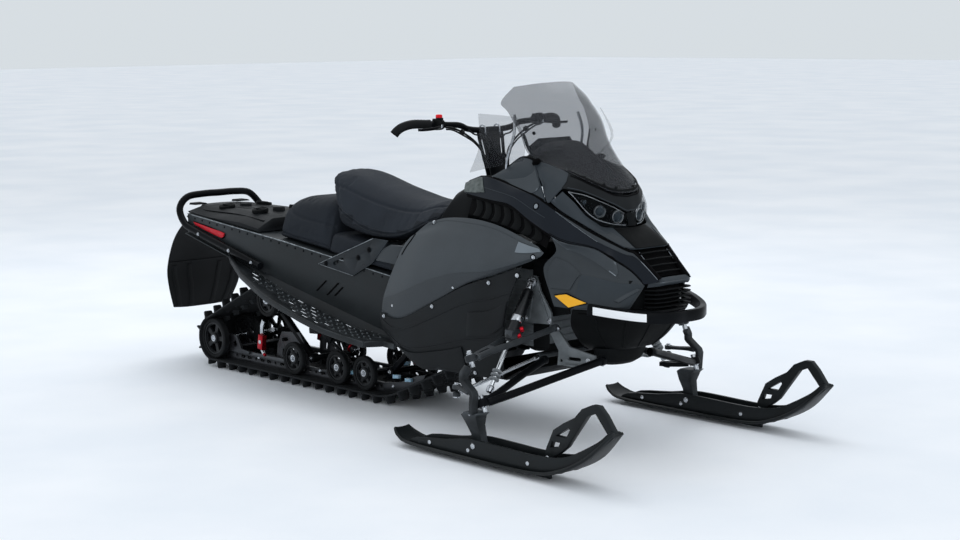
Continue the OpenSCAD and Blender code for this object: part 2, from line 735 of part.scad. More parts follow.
module hand_grips() {
  color("#101010")
    both_sides() {
      bent_tube([[333, 407, 1071], [340, 399, 1083], [353, 382, 1096], [366, 345, 1104], [379, 282, 1101]],
                34, steps = 3, sides = 14, ref = [1, 0, 0.2]);
    }
}

module control_pods() {
  color("#222427")
    both_sides() {
      translate([360, 233, 1078]) cube([60, 34, 44]);
      rod([414, 258, 1093], [428, 372, 1086], 10);
    }
  color("#c01818") rod([390, -246, 1121], [390, -246, 1138], 24);
}

module control_cables() {
  color("#0c0c0c")
    both_sides()
      bent_tube([[412, 226, 1090], [418, 161, 1070], [420, 104, 1036], [422, 64, 994], [432, 50, 944]],
                8, steps = 4, sides = 8, ref = [1, 0, 0.1]);
}

module tie_rods() {
  color("#c9cdd0") {
    both_sides() {
      rod([845, 196, 307], steer_arm_end + [0, -6, -26], 14);
      translate(steer_arm_end + [0, 0, -38]) cylinder(d = 28, h = 20);
    }
    rod([845, -200, 307], [845, 200, 307], 20);
  }
}

module spindle() {
  color("#25272a") {
    translate(king_low) rotate([0, -caster, 0]) {
      translate([0, 0, -34]) cylinder(d = kingpin_d, h = 60);
    }
    translate(king_high) rotate([0, -caster, 0]) {
      translate([0, 0, -30]) cylinder(d = kingpin_d, h = 52);
    }
    hull() {
      translate(king_high + [-6, 0, -42]) cube([32, 36, 20]);
      translate(king_high + [-14, 24, -60]) cube([34, 16, 20]);
    }
    hull() {
      translate(king_high + [-14, 26, -60]) cube([34, 16, 20]);
      translate(king_low + [-24, 26, -50]) cube([40, 16, 20]);
    }
    hull() {
      translate(king_low + [-64, -16, -54]) cube([84, 54, 22]);
      translate(ski_bolt + [-28, -14, -12]) cube([44, 28, 20]);
    }
    hull() {
      translate(steer_arm_end + [-14, -14, -10]) cube([28, 28, 14]);
      translate([880, half_stance + 24, 232]) cube([30, 16, 20]);
    }
  }
}

module spindle_left() { spindle(); }

module spindle_right() { mirror([0, 1, 0]) spindle(); }

// Ski outline in X and Z, and its half width at points along X
ski_line = [[500, 50], [535, 26], [612, 12], [900, 10], [1200, 13], [1327, 38], [1443, 97], [1541, 187]];
ski_half_w = [for (share = [0.54, 0.8, 0.95, 1, 1, 0.97, 0.84, 0.4]) share * ski_w / 2];

module ski() {
  rows = [for (k = [0 : len(ski_line) - 1])
            let (p = ski_line[k], w = ski_half_w[k])
            [[p[0], half_stance + w, p[1]], [p[0], half_stance, p[1] - 1],
             [p[0], half_stance - w, p[1]]]];
  loop = [[1528, half_stance, 184], [1508, half_stance, 216], [1456, half_stance, 262],
          [1424, half_stance, 256], [1366, half_stance, 212], [1292, half_stance, 146],
          [1234, half_stance, 56]];
  color("#141517") {
    difference() {
      union() {
        translate([0, 0, 4]) wall(smooth_net(rows, 2), 10);
        translate([860, half_stance - 50, 12]) cube([140, 12, 70]);
        translate([860, half_stance + 38, 12]) cube([140, 12, 70]);
      }
      disc_y(ski_bolt, 12, 200);
    }
    bent_tube(loop, 24, steps = 4, sides = 10, ref = [0, 1, 0]);
    translate([570, half_stance - 5, 0]) cube([680, 10, 18]);
  }
}

module ski_left() { ski(); }

module ski_right() { mirror([0, 1, 0]) ski(); }

tunnel();
tail_deck();
running_boards();
rear_bumper();
snow_flap();
tail_lights();
passenger_seat();
driver_seat();
seat_brackets();
tank_cover();
hood();
nose();
side_panels();
lower_panels();
belly_pan();
front_bumper();
front_grille();
headlights();
side_reflectors();
windshield();
side_deflectors();
dash();
louvre_panels();
engine();
front_frame();
upper_arms();
lower_arms();
front_shocks();
track();
slide_rails();
rear_idler_wheels();
rail_wheels();
upper_idler_wheels();
drive_sprockets();
suspension_arms();
rear_shocks();
handlebar();
hand_grips();
control_pods();
control_cables();
tie_rods();
spindle_left();
spindle_right();
ski_left();
ski_right();
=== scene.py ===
"""Looks of a trail snowmobile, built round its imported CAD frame.
Lengths are in millimetres until a mesh is made."""
import math

import bmesh
import bpy
from bpy.props import FloatProperty, FloatVectorProperty, IntProperty, PointerProperty
from mathutils import Matrix, Vector
from mathutils.bvhtree import BVHTree
from mathutils.geometry import delaunay_2d_cdt
from mathutils.kdtree import KDTree


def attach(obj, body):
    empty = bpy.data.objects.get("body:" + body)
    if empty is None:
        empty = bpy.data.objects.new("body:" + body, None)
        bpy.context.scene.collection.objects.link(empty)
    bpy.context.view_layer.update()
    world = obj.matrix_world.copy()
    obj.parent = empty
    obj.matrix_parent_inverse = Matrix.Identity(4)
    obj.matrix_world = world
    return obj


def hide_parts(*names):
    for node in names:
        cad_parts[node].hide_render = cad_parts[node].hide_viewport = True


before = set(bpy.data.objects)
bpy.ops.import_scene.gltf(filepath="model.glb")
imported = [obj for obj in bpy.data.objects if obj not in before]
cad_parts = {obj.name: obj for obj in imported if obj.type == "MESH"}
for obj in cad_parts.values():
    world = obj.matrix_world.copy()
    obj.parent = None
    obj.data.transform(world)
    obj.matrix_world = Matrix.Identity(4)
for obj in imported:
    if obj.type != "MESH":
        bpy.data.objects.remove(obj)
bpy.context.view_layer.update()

bl_info = {
    "name": "Trail snowmobile",
    "version": (1, 0, 0),
    "blender": (4, 5, 0),
    "location": "3D View > Sidebar > Snowmobile",
    "description": "Builds the body, seats, track, skis and running gear of a trail snowmobile",
    "category": "Add Mesh",
}

MM = 0.001


# ---------- numbers and lines ----------
def srgb(code):
    """A colour from its sRGB hex code, as Blender's linear red, green, blue and alpha."""
    parts = [int(code[k:k + 2], 16) / 255 for k in (1, 3, 5)]
    return [c / 12.92 if c <= 0.04045 else ((c + 0.055) / 1.055) ** 2.4 for c in parts] + [1]


def curve(a, b, c, d, t):
    """A point of the smooth curve that runs through b and c."""
    return [0.5 * (2 * q + (r - p) * t + (2 * p - 5 * q + 4 * r - s) * t * t + (3 * q - p - 3 * r + s)
                   * t ** 3)
            for p, q, r, s in zip(a, b, c, d)]


def smooth(points, steps):
    """A smooth line through the points, with so many steps from each to the next."""
    last = len(points) - 1
    line = [curve(points[max(i - 1, 0)], points[i], points[i + 1], points[min(i + 2, last)], k / steps)
            for i in range(last) for k in range(steps)]
    return line + [list(points[last])]


def turned(net):
    """A net with its rows and columns swapped."""
    return [list(column) for column in zip(*net)]


def smooth_net(net, steps):
    return turned([smooth(column, steps) for column in turned([smooth(row, steps) for row in net])])


def both_halves(net):
    """The whole of a net whose first column lies on the middle plane."""
    return [[[p[0], -p[1], p[2]] for p in row[:0:-1]] + [list(p) for p in row] for row in net]


def lerp(a, b, t):
    return [p + (q - p) * t for p, q in zip(a, b)]


def line_at(line, t):
    """The point a share t of the way along a polyline's length."""
    steps = [(Vector(b) - Vector(a)).length for a, b in zip(line, line[1:])]
    rest = t * sum(steps)
    for a, b, step in zip(line, line[1:], steps):
        if rest <= step:
            return lerp(a, b, rest / max(step, 1e-6))
        rest -= step
    return list(line[-1])


def net_at(net, u, v):
    """The point and outward normal of a dense net, u and v each from 0 to 1."""
    rows, cols = len(net) - 1, len(net[0]) - 1
    i, j = min(int(u * rows), rows - 1), min(int(v * cols), cols - 1)
    s, t = u * rows - i, v * cols - j
    point = lerp(lerp(net[i][j], net[i + 1][j], s), lerp(net[i][j + 1], net[i + 1][j + 1], s), t)
    along = Vector(lerp(net[i + 1][j], net[i + 1][j + 1], t)) - Vector(lerp(net[i][j], net[i][j + 1], t))
    across = Vector(lerp(net[i][j + 1], net[i + 1][j + 1], s)) - Vector(lerp(net[i][j], net[i + 1][j], s))
    return point, along.cross(across).normalized()


def on_net(net, path, lift=0.0):
    """Points lifted off a net, along a path of u and v."""
    found = [net_at(net, u, v) for u, v in path]
    return [list(Vector(p) + n * lift) for p, n in found]


# ---------- meshes ----------
class Shape:
    """Points in millimetres and faces, each face with the place of its finish in the piece's list."""

    def __init__(self):
        self.points, self.faces, self.marks = [], [], []

    def put(self, points, faces, finish=0):
        start = len(self.points)
        self.points += [list(p) for p in points]
        self.faces += [[start + k for k in face] for face in faces]
        self.marks += [finish] * len(faces)
        return self

    def wall(self, net, depth, finish=0):
        """A wall of one depth behind a net."""
        rows, cols = len(net), len(net[0])
        inner = []
        for i in range(rows):
            for j in range(cols):
                along = Vector(net[min(i + 1, rows - 1)][j]) - Vector(net[max(i - 1, 0)][j])
                across = Vector(net[i][min(j + 1, cols - 1)]) - Vector(net[i][max(j - 1, 0)])
                inner.append(list(Vector(net[i][j]) - along.cross(across).normalized() * depth))
        half = rows * cols
        faces = []
        for i in range(rows - 1):
            for j in range(cols - 1):
                a = i * cols + j
                faces += [[a, a + cols, a + cols + 1, a + 1],
                          [half + a, half + a + 1, half + a + cols + 1, half + a + cols]]
        rim = ([j for j in range(cols)] + [i * cols + cols - 1 for i in range(1, rows)]
               + [(rows - 1) * cols + j for j in range(cols - 2, -1, -1)]
               + [i * cols for i in range(rows - 2, 0, -1)])
        faces += [[a, b, half + b, half + a] for a, b in zip(rim, rim[1:] + rim[:1])]
        return self.put([p for row in net for p in row] + inner, faces, finish)

    def loft(self, rings, finish=0, closed=False):
        """A skin through closed rings, with its ends filled unless it closes on itself."""
        sides, last = len(rings[0]), len(rings) - 1
        faces = []
        for i in range(last + closed):
            for k in range(sides):
                a, b = i * sides + k, i * sides + (k + 1) % sides
                c, d = (i + 1) % (last + 1) * sides + (k + 1) % sides, (i + 1) % (last + 1) * sides + k
                faces.append([a, b, c, d])
        if not closed:
            faces += [[k for k in range(sides)][::-1], [last * sides + k for k in range(sides)]]
        return self.put([p for ring in rings for p in ring], faces, finish)

    def tube(self, line, size, finish=0, sides=14, flat=1.0, up=(0, 0, 1), closed=False, square=False):
        """A bar along a line. Size is its diameter, or one for each point, and flat is its height over
        its width."""
        rings, count = [], len(line)
        sizes = size if isinstance(size, (list, tuple)) else [size] * count
        for i, p in enumerate(line):
            before = line[(i - 1) % count] if closed else line[max(i - 1, 0)]
            after = line[(i + 1) % count] if closed else line[min(i + 1, count - 1)]
            way = (Vector(after) - Vector(before)).normalized()
            side = way.cross(Vector(up)).normalized()
            top = side.cross(way)
            r = sizes[i] / 2
            if square:
                cut = 0.72
                spots = [(1, cut), (cut, 1), (-cut, 1), (-1, cut), (-1, -cut), (-cut, -1), (cut, -1),
                         (1, -cut)]
            else:
                spots = [(math.cos(math.tau * k / sides), math.sin(math.tau * k / sides))
                         for k in range(sides)]
            rings.append([list(Vector(p) + side * r * a + top * r * flat * b) for a, b in spots])
        return self.loft(rings, finish, closed)

    def spin(self, profile, at, way, finish=0, sides=32, hollow=False):
        """A turned shape about the line through at: its profile is pairs of distance along and radius."""
        way = Vector(way).normalized()
        side = way.orthogonal().normalized()
        top = way.cross(side)
        rings = [[list(Vector(at) + way * s + (side * math.cos(math.tau * k / sides) + top
                                               * math.sin(math.tau * k / sides)) * r)
                  for k in range(sides)] for s, r in profile]
        return self.loft(rings, finish, hollow)

    def rod(self, a, b, size, finish=0, sides=20):
        """A round bar from a to b with eased ends."""
        way = Vector(b) - Vector(a)
        r, ease = size / 2, min(1.2, size / 8)
        return self.spin([(0, r - ease), (ease, r), (way.length - ease, r), (way.length, r - ease)], a, way,
                         finish, sides)

    def bolt(self, at, way, size, finish=0):
        """A hexagon head on a washer, with its socket side towards way."""
        r = size / 2
        self.spin([(0, r * 1.35), (r * 0.18, r * 1.35), (r * 0.22, r * 1.28)], at, way, finish, 20)
        return self.spin([(r * 0.2, r), (r * 0.8, r), (r * 0.95, r * 0.82)], at, way, finish, 6)

    def box(self, low, high, finish=0):
        x, y, z = zip(low, high)
        points = [[x[i], y[j], z[k]] for i in (0, 1) for j in (0, 1) for k in (0, 1)]
        return self.put(points, [[0, 1, 3, 2], [4, 6, 7, 5], [0, 4, 5, 1], [2, 3, 7, 6], [0, 2, 6, 4],
                                 [1, 5, 7, 3]], finish)

    def plate(self, outline, depth, place, finish=0, holes=()):
        """A flat plate with holes. Place turns its flat x, y and depth into a point, and depth runs both
        ways from 0."""
        loops = [[Vector(p) for p in outline]] + [[Vector(p) for p in hole] for hole in holes]
        flat, edges = [], []
        for loop in loops:
            start = len(flat)
            flat += loop
            edges += [(start + k, start + (k + 1) % len(loop)) for k in range(len(loop))]
        points, _, faces, source, _, _ = delaunay_2d_cdt(flat, edges, [], 0, 1e-4)
        source = [s[0] if s else 0 for s in source]

        def inside(p, loop):
            hits = False
            for a, b in zip(loop, loop[1:] + loop[:1]):
                if (a.y > p.y) != (b.y > p.y) and p.x < (b.x - a.x) * (p.y - a.y) / (b.y - a.y) + a.x:
                    hits = not hits
            return hits

        kept = []
        for face in faces:
            middle = sum((points[k] for k in face), Vector((0, 0))) / len(face)
            if inside(middle, loops[0]) and not any(inside(middle, hole) for hole in loops[1:]):
                kept.append(list(face))
        count = len(points)
        used = {}
        for face in kept:
            for a, b in zip(face, face[1:] + face[:1]):
                used[(a, b)] = 1
        skin = kept + [[k + count for k in face[::-1]] for face in kept]
        skin += [[b, a, a + count, b + count] for a, b in used if (b, a) not in used]
        return self.put([place(p.x, p.y, side * depth / 2) for side in (1, -1) for p in points], skin, finish)

    def side_plate(self, outline, y, depth, finish=0, holes=()):
        return self.plate(outline, depth, lambda a, b, c: [a, y + c, b], finish, holes)

    def top_plate(self, outline, z, depth, finish=0, holes=()):
        return self.plate(outline, depth, lambda a, b, c: [a, b, z + c], finish, holes)

    def mirrored(self):
        """The shape and its copy on the other side of the machine."""
        return self.put([[p[0], -p[1], p[2]] for p in self.points], [face[::-1] for face in self.faces],
                        0).remark()

    def remark(self):
        half = len(self.marks) // 2
        self.marks[half:] = self.marks[:half]
        return self

    def across(self):
        """The shape on the other side only."""
        other = Shape()
        other.points = [[p[0], -p[1], p[2]] for p in self.points]
        other.faces = [face[::-1] for face in self.faces]
        other.marks = list(self.marks)
        return other

    def join(self, other):
        start = len(self.points)
        self.points += other.points
        self.faces += [[start + k for k in face] for face in other.faces]
        self.marks += other.marks
        return self


def circle(x, y, r, sides=20):
    return [[x + r * math.cos(math.tau * k / sides), y + r * math.sin(math.tau * k / sides)]
            for k in range(sides)]


def slot_hole(x, y, long, wide, lean=0.0, sides=6):
    """The outline of a slot with round ends, leaning by an angle in degrees."""
    c, s, r = math.cos(math.radians(lean)), math.sin(math.radians(lean)), wide / 2
    half = long / 2 - r
    flat = [[half + r * math.cos(a), r * math.sin(a)] for a in
            [math.pi * (k / sides - 0.5) for k in range(sides + 1)]]
    flat += [[-p[0], -p[1]] for p in flat]
    return [[x + p[0] * c - p[1] * s, y + p[0] * s + p[1] * c] for p in flat]


def mesh_of(name, shape):
    """A clean mesh in metres: doubles merged and every closed part facing outwards."""
    mesh = bpy.data.meshes.new(name)
    mesh.from_pydata([[c * MM for c in p] for p in shape.points], [], shape.faces)
    mesh.polygons.foreach_set("material_index", shape.marks)
    work = bmesh.new()
    work.from_mesh(mesh)
    bmesh.ops.remove_doubles(work, verts=work.verts, dist=1e-6)
    bmesh.ops.dissolve_degenerate(work, edges=work.edges, dist=1e-7)
    bmesh.ops.recalc_face_normals(work, faces=work.faces)
    work.to_mesh(mesh)
    work.free()
    return mesh


def evaluated(obj):
    """The object's mesh with its modifiers applied and taken off."""
    bpy.context.view_layer.update()
    mesh = bpy.data.meshes.new_from_object(obj.evaluated_get(bpy.context.evaluated_depsgraph_get()))
    obj.modifiers.clear()
    old, obj.data = obj.data, mesh
    bpy.data.meshes.remove(old)
    return obj


def link(name, mesh):
    obj = bpy.data.objects.new(name, mesh)
    bpy.context.scene.collection.objects.link(obj)
    return obj


def piece(name, shape, body, finishes, nodes=(), bevel=0.8, angle=35, subdivide=0):
    """A finished piece of the machine, riding on a body and standing for CAD nodes. Finishes are named in the
    order of the shape's marks."""
    obj = link(name, mesh_of(name, shape))
    for key in finishes.split():
        obj.data.materials.append(FINISH[key])
    if bevel:
        easing = obj.modifiers.new("Eased edges", "BEVEL")
        easing.width, easing.segments, easing.limit_method = bevel * MM, 2, "ANGLE"
        easing.angle_limit, easing.harden_normals = math.radians(32), False
    if subdivide:
        rounding = obj.modifiers.new("Rounding", "SUBSURF")
        rounding.levels = rounding.render_levels = subdivide
    evaluated(obj)
    if not obj.data.polygons:
        raise RuntimeError(f"{name} came out with no faces")
    return settle(obj, body, nodes, angle)


def settle(obj, body, nodes=(), angle=35):
    """Shading, body and CAD nodes of a piece whose mesh is final."""
    obj.data.polygons.foreach_set("use_smooth", [True] * len(obj.data.polygons))
    obj.data.set_sharp_from_angle(angle=math.radians(angle))
    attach(obj, body)
    if nodes:
        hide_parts(*nodes)
    return obj


# ---------- geometry nodes ----------
def add(tree, kind, inputs=None, **settings):
    """Adds a node with its settings, and sets or links its inputs."""
    node = tree.nodes.new(kind)
    for key, value in settings.items():
        setattr(node, key, value)
    for key, value in (inputs or {}).items():
        if isinstance(value, bpy.types.NodeSocket):
            tree.links.new(value, node.inputs[key])
        else:
            node.inputs[key].default_value = value
    return node


def rows_tree():
    """A tree that sets copies of one item along a line, each turned to the line and to the point's
    own facing."""
    tree = bpy.data.node_groups.new("Items along a line", "GeometryNodeTree")
    sockets = {}
    for label, kind, value in (("Line", "NodeSocketGeometry", None), ("Item", "NodeSocketObject", None),
                               ("Count", "NodeSocketInt", 10), ("Closed", "NodeSocketBool", False),
                               ("Size Spread", "NodeSocketFloat", 0.0), ("Seed", "NodeSocketInt", 7),
                               ("Finish", "NodeSocketMaterial", None)):
        sockets[label] = tree.interface.new_socket(label, in_out="INPUT", socket_type=kind)
        if value is not None:
            sockets[label].default_value = value
    tree.interface.new_socket("Items", in_out="OUTPUT", socket_type="NodeSocketGeometry")
    source = add(tree, "NodeGroupInput")
    line = add(tree, "GeometryNodeMeshToCurve", {"Mesh": source.outputs["Line"]})
    cyclic = add(tree, "GeometryNodeSetSplineCyclic",
                 {"Geometry": line.outputs[0], "Cyclic": source.outputs["Closed"]})
    even = add(tree, "GeometryNodeResampleCurve", {"Curve": cyclic.outputs[0],
                                                   "Count": source.outputs["Count"]})
    facing = add(tree, "GeometryNodeInputNamedAttribute", {"Name": "facing"}, data_type="FLOAT_VECTOR")
    tangent = add(tree, "GeometryNodeInputTangent")
    turn = add(tree, "FunctionNodeAxesToRotation", {"Primary Axis": facing.outputs[0],
                                                    "Secondary Axis": tangent.outputs[0]},
               primary_axis="Z", secondary_axis="X")
    item = add(tree, "GeometryNodeObjectInfo", {"Object": source.outputs["Item"]})
    spread = add(tree, "FunctionNodeRandomValue", {"Seed": source.outputs["Seed"]}, data_type="FLOAT")
    low = add(tree, "ShaderNodeMath", {0: 1.0, 1: source.outputs["Size Spread"]}, operation="SUBTRACT")
    high = add(tree, "ShaderNodeMath", {0: 1.0, 1: source.outputs["Size Spread"]}, operation="ADD")
    tree.links.new(low.outputs[0], spread.inputs[2])
    tree.links.new(high.outputs[0], spread.inputs[3])
    copies = add(tree, "GeometryNodeInstanceOnPoints",
                 {"Points": even.outputs[0], "Instance": item.outputs["Geometry"],
                  "Rotation": turn.outputs[0],
                  "Scale": spread.outputs[1]})
    real = add(tree, "GeometryNodeRealizeInstances", {"Geometry": copies.outputs[0]})
    coat = add(tree, "GeometryNodeSetMaterial", {"Geometry": real.outputs[0],
                                                 "Material": source.outputs["Finish"]})
    add(tree, "NodeGroupOutput", {"Items": coat.outputs[0]})
    return tree


def row_of(name, lines, item, finish, body, nodes=(), angle=35, seed=7):
    """One piece with copies of an item along lines. Each line is (points, facings, count, closed)."""
    tree = bpy.data.node_groups.get("Items along a line") or rows_tree()
    keys = {s.name: s.identifier for s in tree.interface.items_tree if s.in_out == "INPUT"}
    token = link(name + "_item", mesh_of(name + "_item", item))
    work = bmesh.new()
    for number, (points, facings, count, closed) in enumerate(lines):
        mesh = bpy.data.meshes.new(name)
        edges = [(k, k + 1) for k in range(len(points) - 1)]
        mesh.from_pydata([[c * MM for c in p] for p in points], edges, [])
        mark = mesh.attributes.new("facing", "FLOAT_VECTOR", "POINT")
        mark.data.foreach_set("vector", [c for f in facings for c in f])
        holder = link(f"{name}_{number}", mesh)
        modifier = holder.modifiers.new("Row", "NODES")
        modifier.node_group = tree
        for key, value in (("Item", token), ("Count", count), ("Closed", closed), ("Size Spread", 0.02),
                           ("Seed", seed + number), ("Finish", finish)):
            modifier[keys[key]] = value
        evaluated(holder)
        work.from_mesh(holder.data)
        bpy.data.meshes.remove(holder.data)
    bpy.data.meshes.remove(token.data)
    mesh = bpy.data.meshes.new(name)
    bmesh.ops.recalc_face_normals(work, faces=work.faces)
    work.to_mesh(mesh)
    work.free()
    for attribute in list(mesh.attributes):
        if attribute.name == "facing":
            mesh.attributes.remove(attribute)
    mesh.materials.append(finish)
    if not mesh.polygons:
        raise RuntimeError(f"{name} came out with no faces")
    return settle(link(name, mesh), body, nodes, angle)


# ---------- finishes ----------
def surface(name, light, dark, rough, grain, relief, mottle=90.0, rough_spread=0.08, edge=None, lines=None,
            **fixed):
    """A solid finish: slow changes between two colours, a fine moulded or ground grain, uneven sheen and
    rubbed edges. Grain and mottle are sizes in millimetres, and relief is the grain's depth. Lines
    stretches the grain along X."""
    material = bpy.data.materials.new(name)
    material.use_nodes = True
    tree = material.node_tree
    shader = tree.nodes["Principled BSDF"]
    place = add(tree, "ShaderNodeTexCoord")
    stretch = add(tree, "ShaderNodeMapping", {"Vector": place.outputs["Object"], "Scale": lines or (1, 1, 1)})
    cloud = add(tree, "ShaderNodeTexNoise", {"Vector": place.outputs["Object"], "Scale": 1000 / mottle,
                                             "Detail": 4.0})
    fine = add(tree, "ShaderNodeTexNoise", {"Vector": stretch.outputs[0], "Scale": 1000 / grain,
                                            "Detail": 3.0,
                                            "Roughness": 0.6})
    fade = add(tree, "ShaderNodeMapRange", {"Value": cloud.outputs[0], "From Min": 0.35, "From Max": 0.65})
    body = add(tree, "ShaderNodeMix", {0: fade.outputs[0], 6: dark, 7: light}, data_type="RGBA")
    colour = body.outputs[2]
    if edge:
        shape = add(tree, "ShaderNodeNewGeometry")
        rub = add(tree, "ShaderNodeMapRange", {"Value": shape.outputs["Pointiness"], "From Min": 0.53,
                                               "From Max": 0.62})
        patch = add(tree, "ShaderNodeMath", {0: rub.outputs[0], 1: fine.outputs[0]}, operation="MULTIPLY")
        worn = add(tree, "ShaderNodeMix", {0: patch.outputs[0], 6: colour, 7: edge}, data_type="RGBA")
        colour = worn.outputs[2]
    tree.links.new(colour, shader.inputs["Base Color"])
    sheen = add(tree, "ShaderNodeMapRange", {"Value": cloud.outputs[0], "From Min": 0.3, "From Max": 0.7,
                                             "To Min": max(rough - rough_spread, 0.02),
                                             "To Max": rough + rough_spread})
    tree.links.new(sheen.outputs[0], shader.inputs["Roughness"])
    bump = add(tree, "ShaderNodeBump", {"Height": fine.outputs[0], "Distance": relief * MM, "Strength": 1.0})
    tree.links.new(bump.outputs[0], shader.inputs["Normal"])
    if "metallic" not in fixed:
        fixed.setdefault("specular_ior_level", 0.18)
    for key, value in fixed.items():
        shader.inputs[key.replace("_", " ").title().replace("Ior", "IOR")].default_value = value
    return material


def hide(name, light, dark, rough):
    """Vinyl with a pressed leather grain: cells of two sizes that part at fine wrinkles."""
    material = surface(name, light, dark, rough, 3.0, 0.05, mottle=140.0, specular_ior_level=0.04)
    tree = material.node_tree
    place = next(n for n in tree.nodes if n.bl_idname == "ShaderNodeTexCoord")
    warp = add(tree, "ShaderNodeTexNoise", {"Vector": place.outputs["Object"], "Scale": 260.0, "Detail": 2.0})
    mix = add(tree, "ShaderNodeMix", {0: 0.0025, 4: place.outputs["Object"], 5: warp.outputs["Color"]},
              data_type="VECTOR")
    cells = add(tree, "ShaderNodeTexVoronoi", {"Vector": mix.outputs[1], "Scale": 420.0},
                feature="DISTANCE_TO_EDGE")
    crease = add(tree, "ShaderNodeMapRange", {"Value": cells.outputs["Distance"], "From Max": 0.12})
    grain = add(tree, "ShaderNodeBump", {"Height": crease.outputs[0], "Distance": 0.00025, "Strength": 0.7})
    tree.links.new(grain.outputs[0], tree.nodes["Principled BSDF"].inputs["Normal"])
    return material


def pane(name, tint, alpha, rough=0.1, ribs=0.0, **fixed):
    """A moulded clear or tinted pane: see-through, with a slow ripple from the mould and, if asked,
    lens ribs."""
    material = surface(name, tint, [c * 0.95 for c in tint[:3]] + [1], rough, 140.0, 0.08, mottle=220.0,
                       rough_spread=0.01,
                       ior=1.58, **fixed)
    tree = material.node_tree
    shader = tree.nodes["Principled BSDF"]
    shader.inputs["Alpha"].default_value = alpha
    if ribs:
        place = next(n for n in tree.nodes if n.bl_idname == "ShaderNodeTexCoord")
        wave = add(tree, "ShaderNodeTexVoronoi", {"Vector": place.outputs["Object"], "Scale": 1000 / ribs},
                   distance="CHEBYCHEV")
        bump = add(tree, "ShaderNodeBump", {"Height": wave.outputs["Distance"], "Distance": 0.0012,
                                            "Strength": 0.8})
        tree.links.new(bump.outputs[0], shader.inputs["Normal"])
    return material


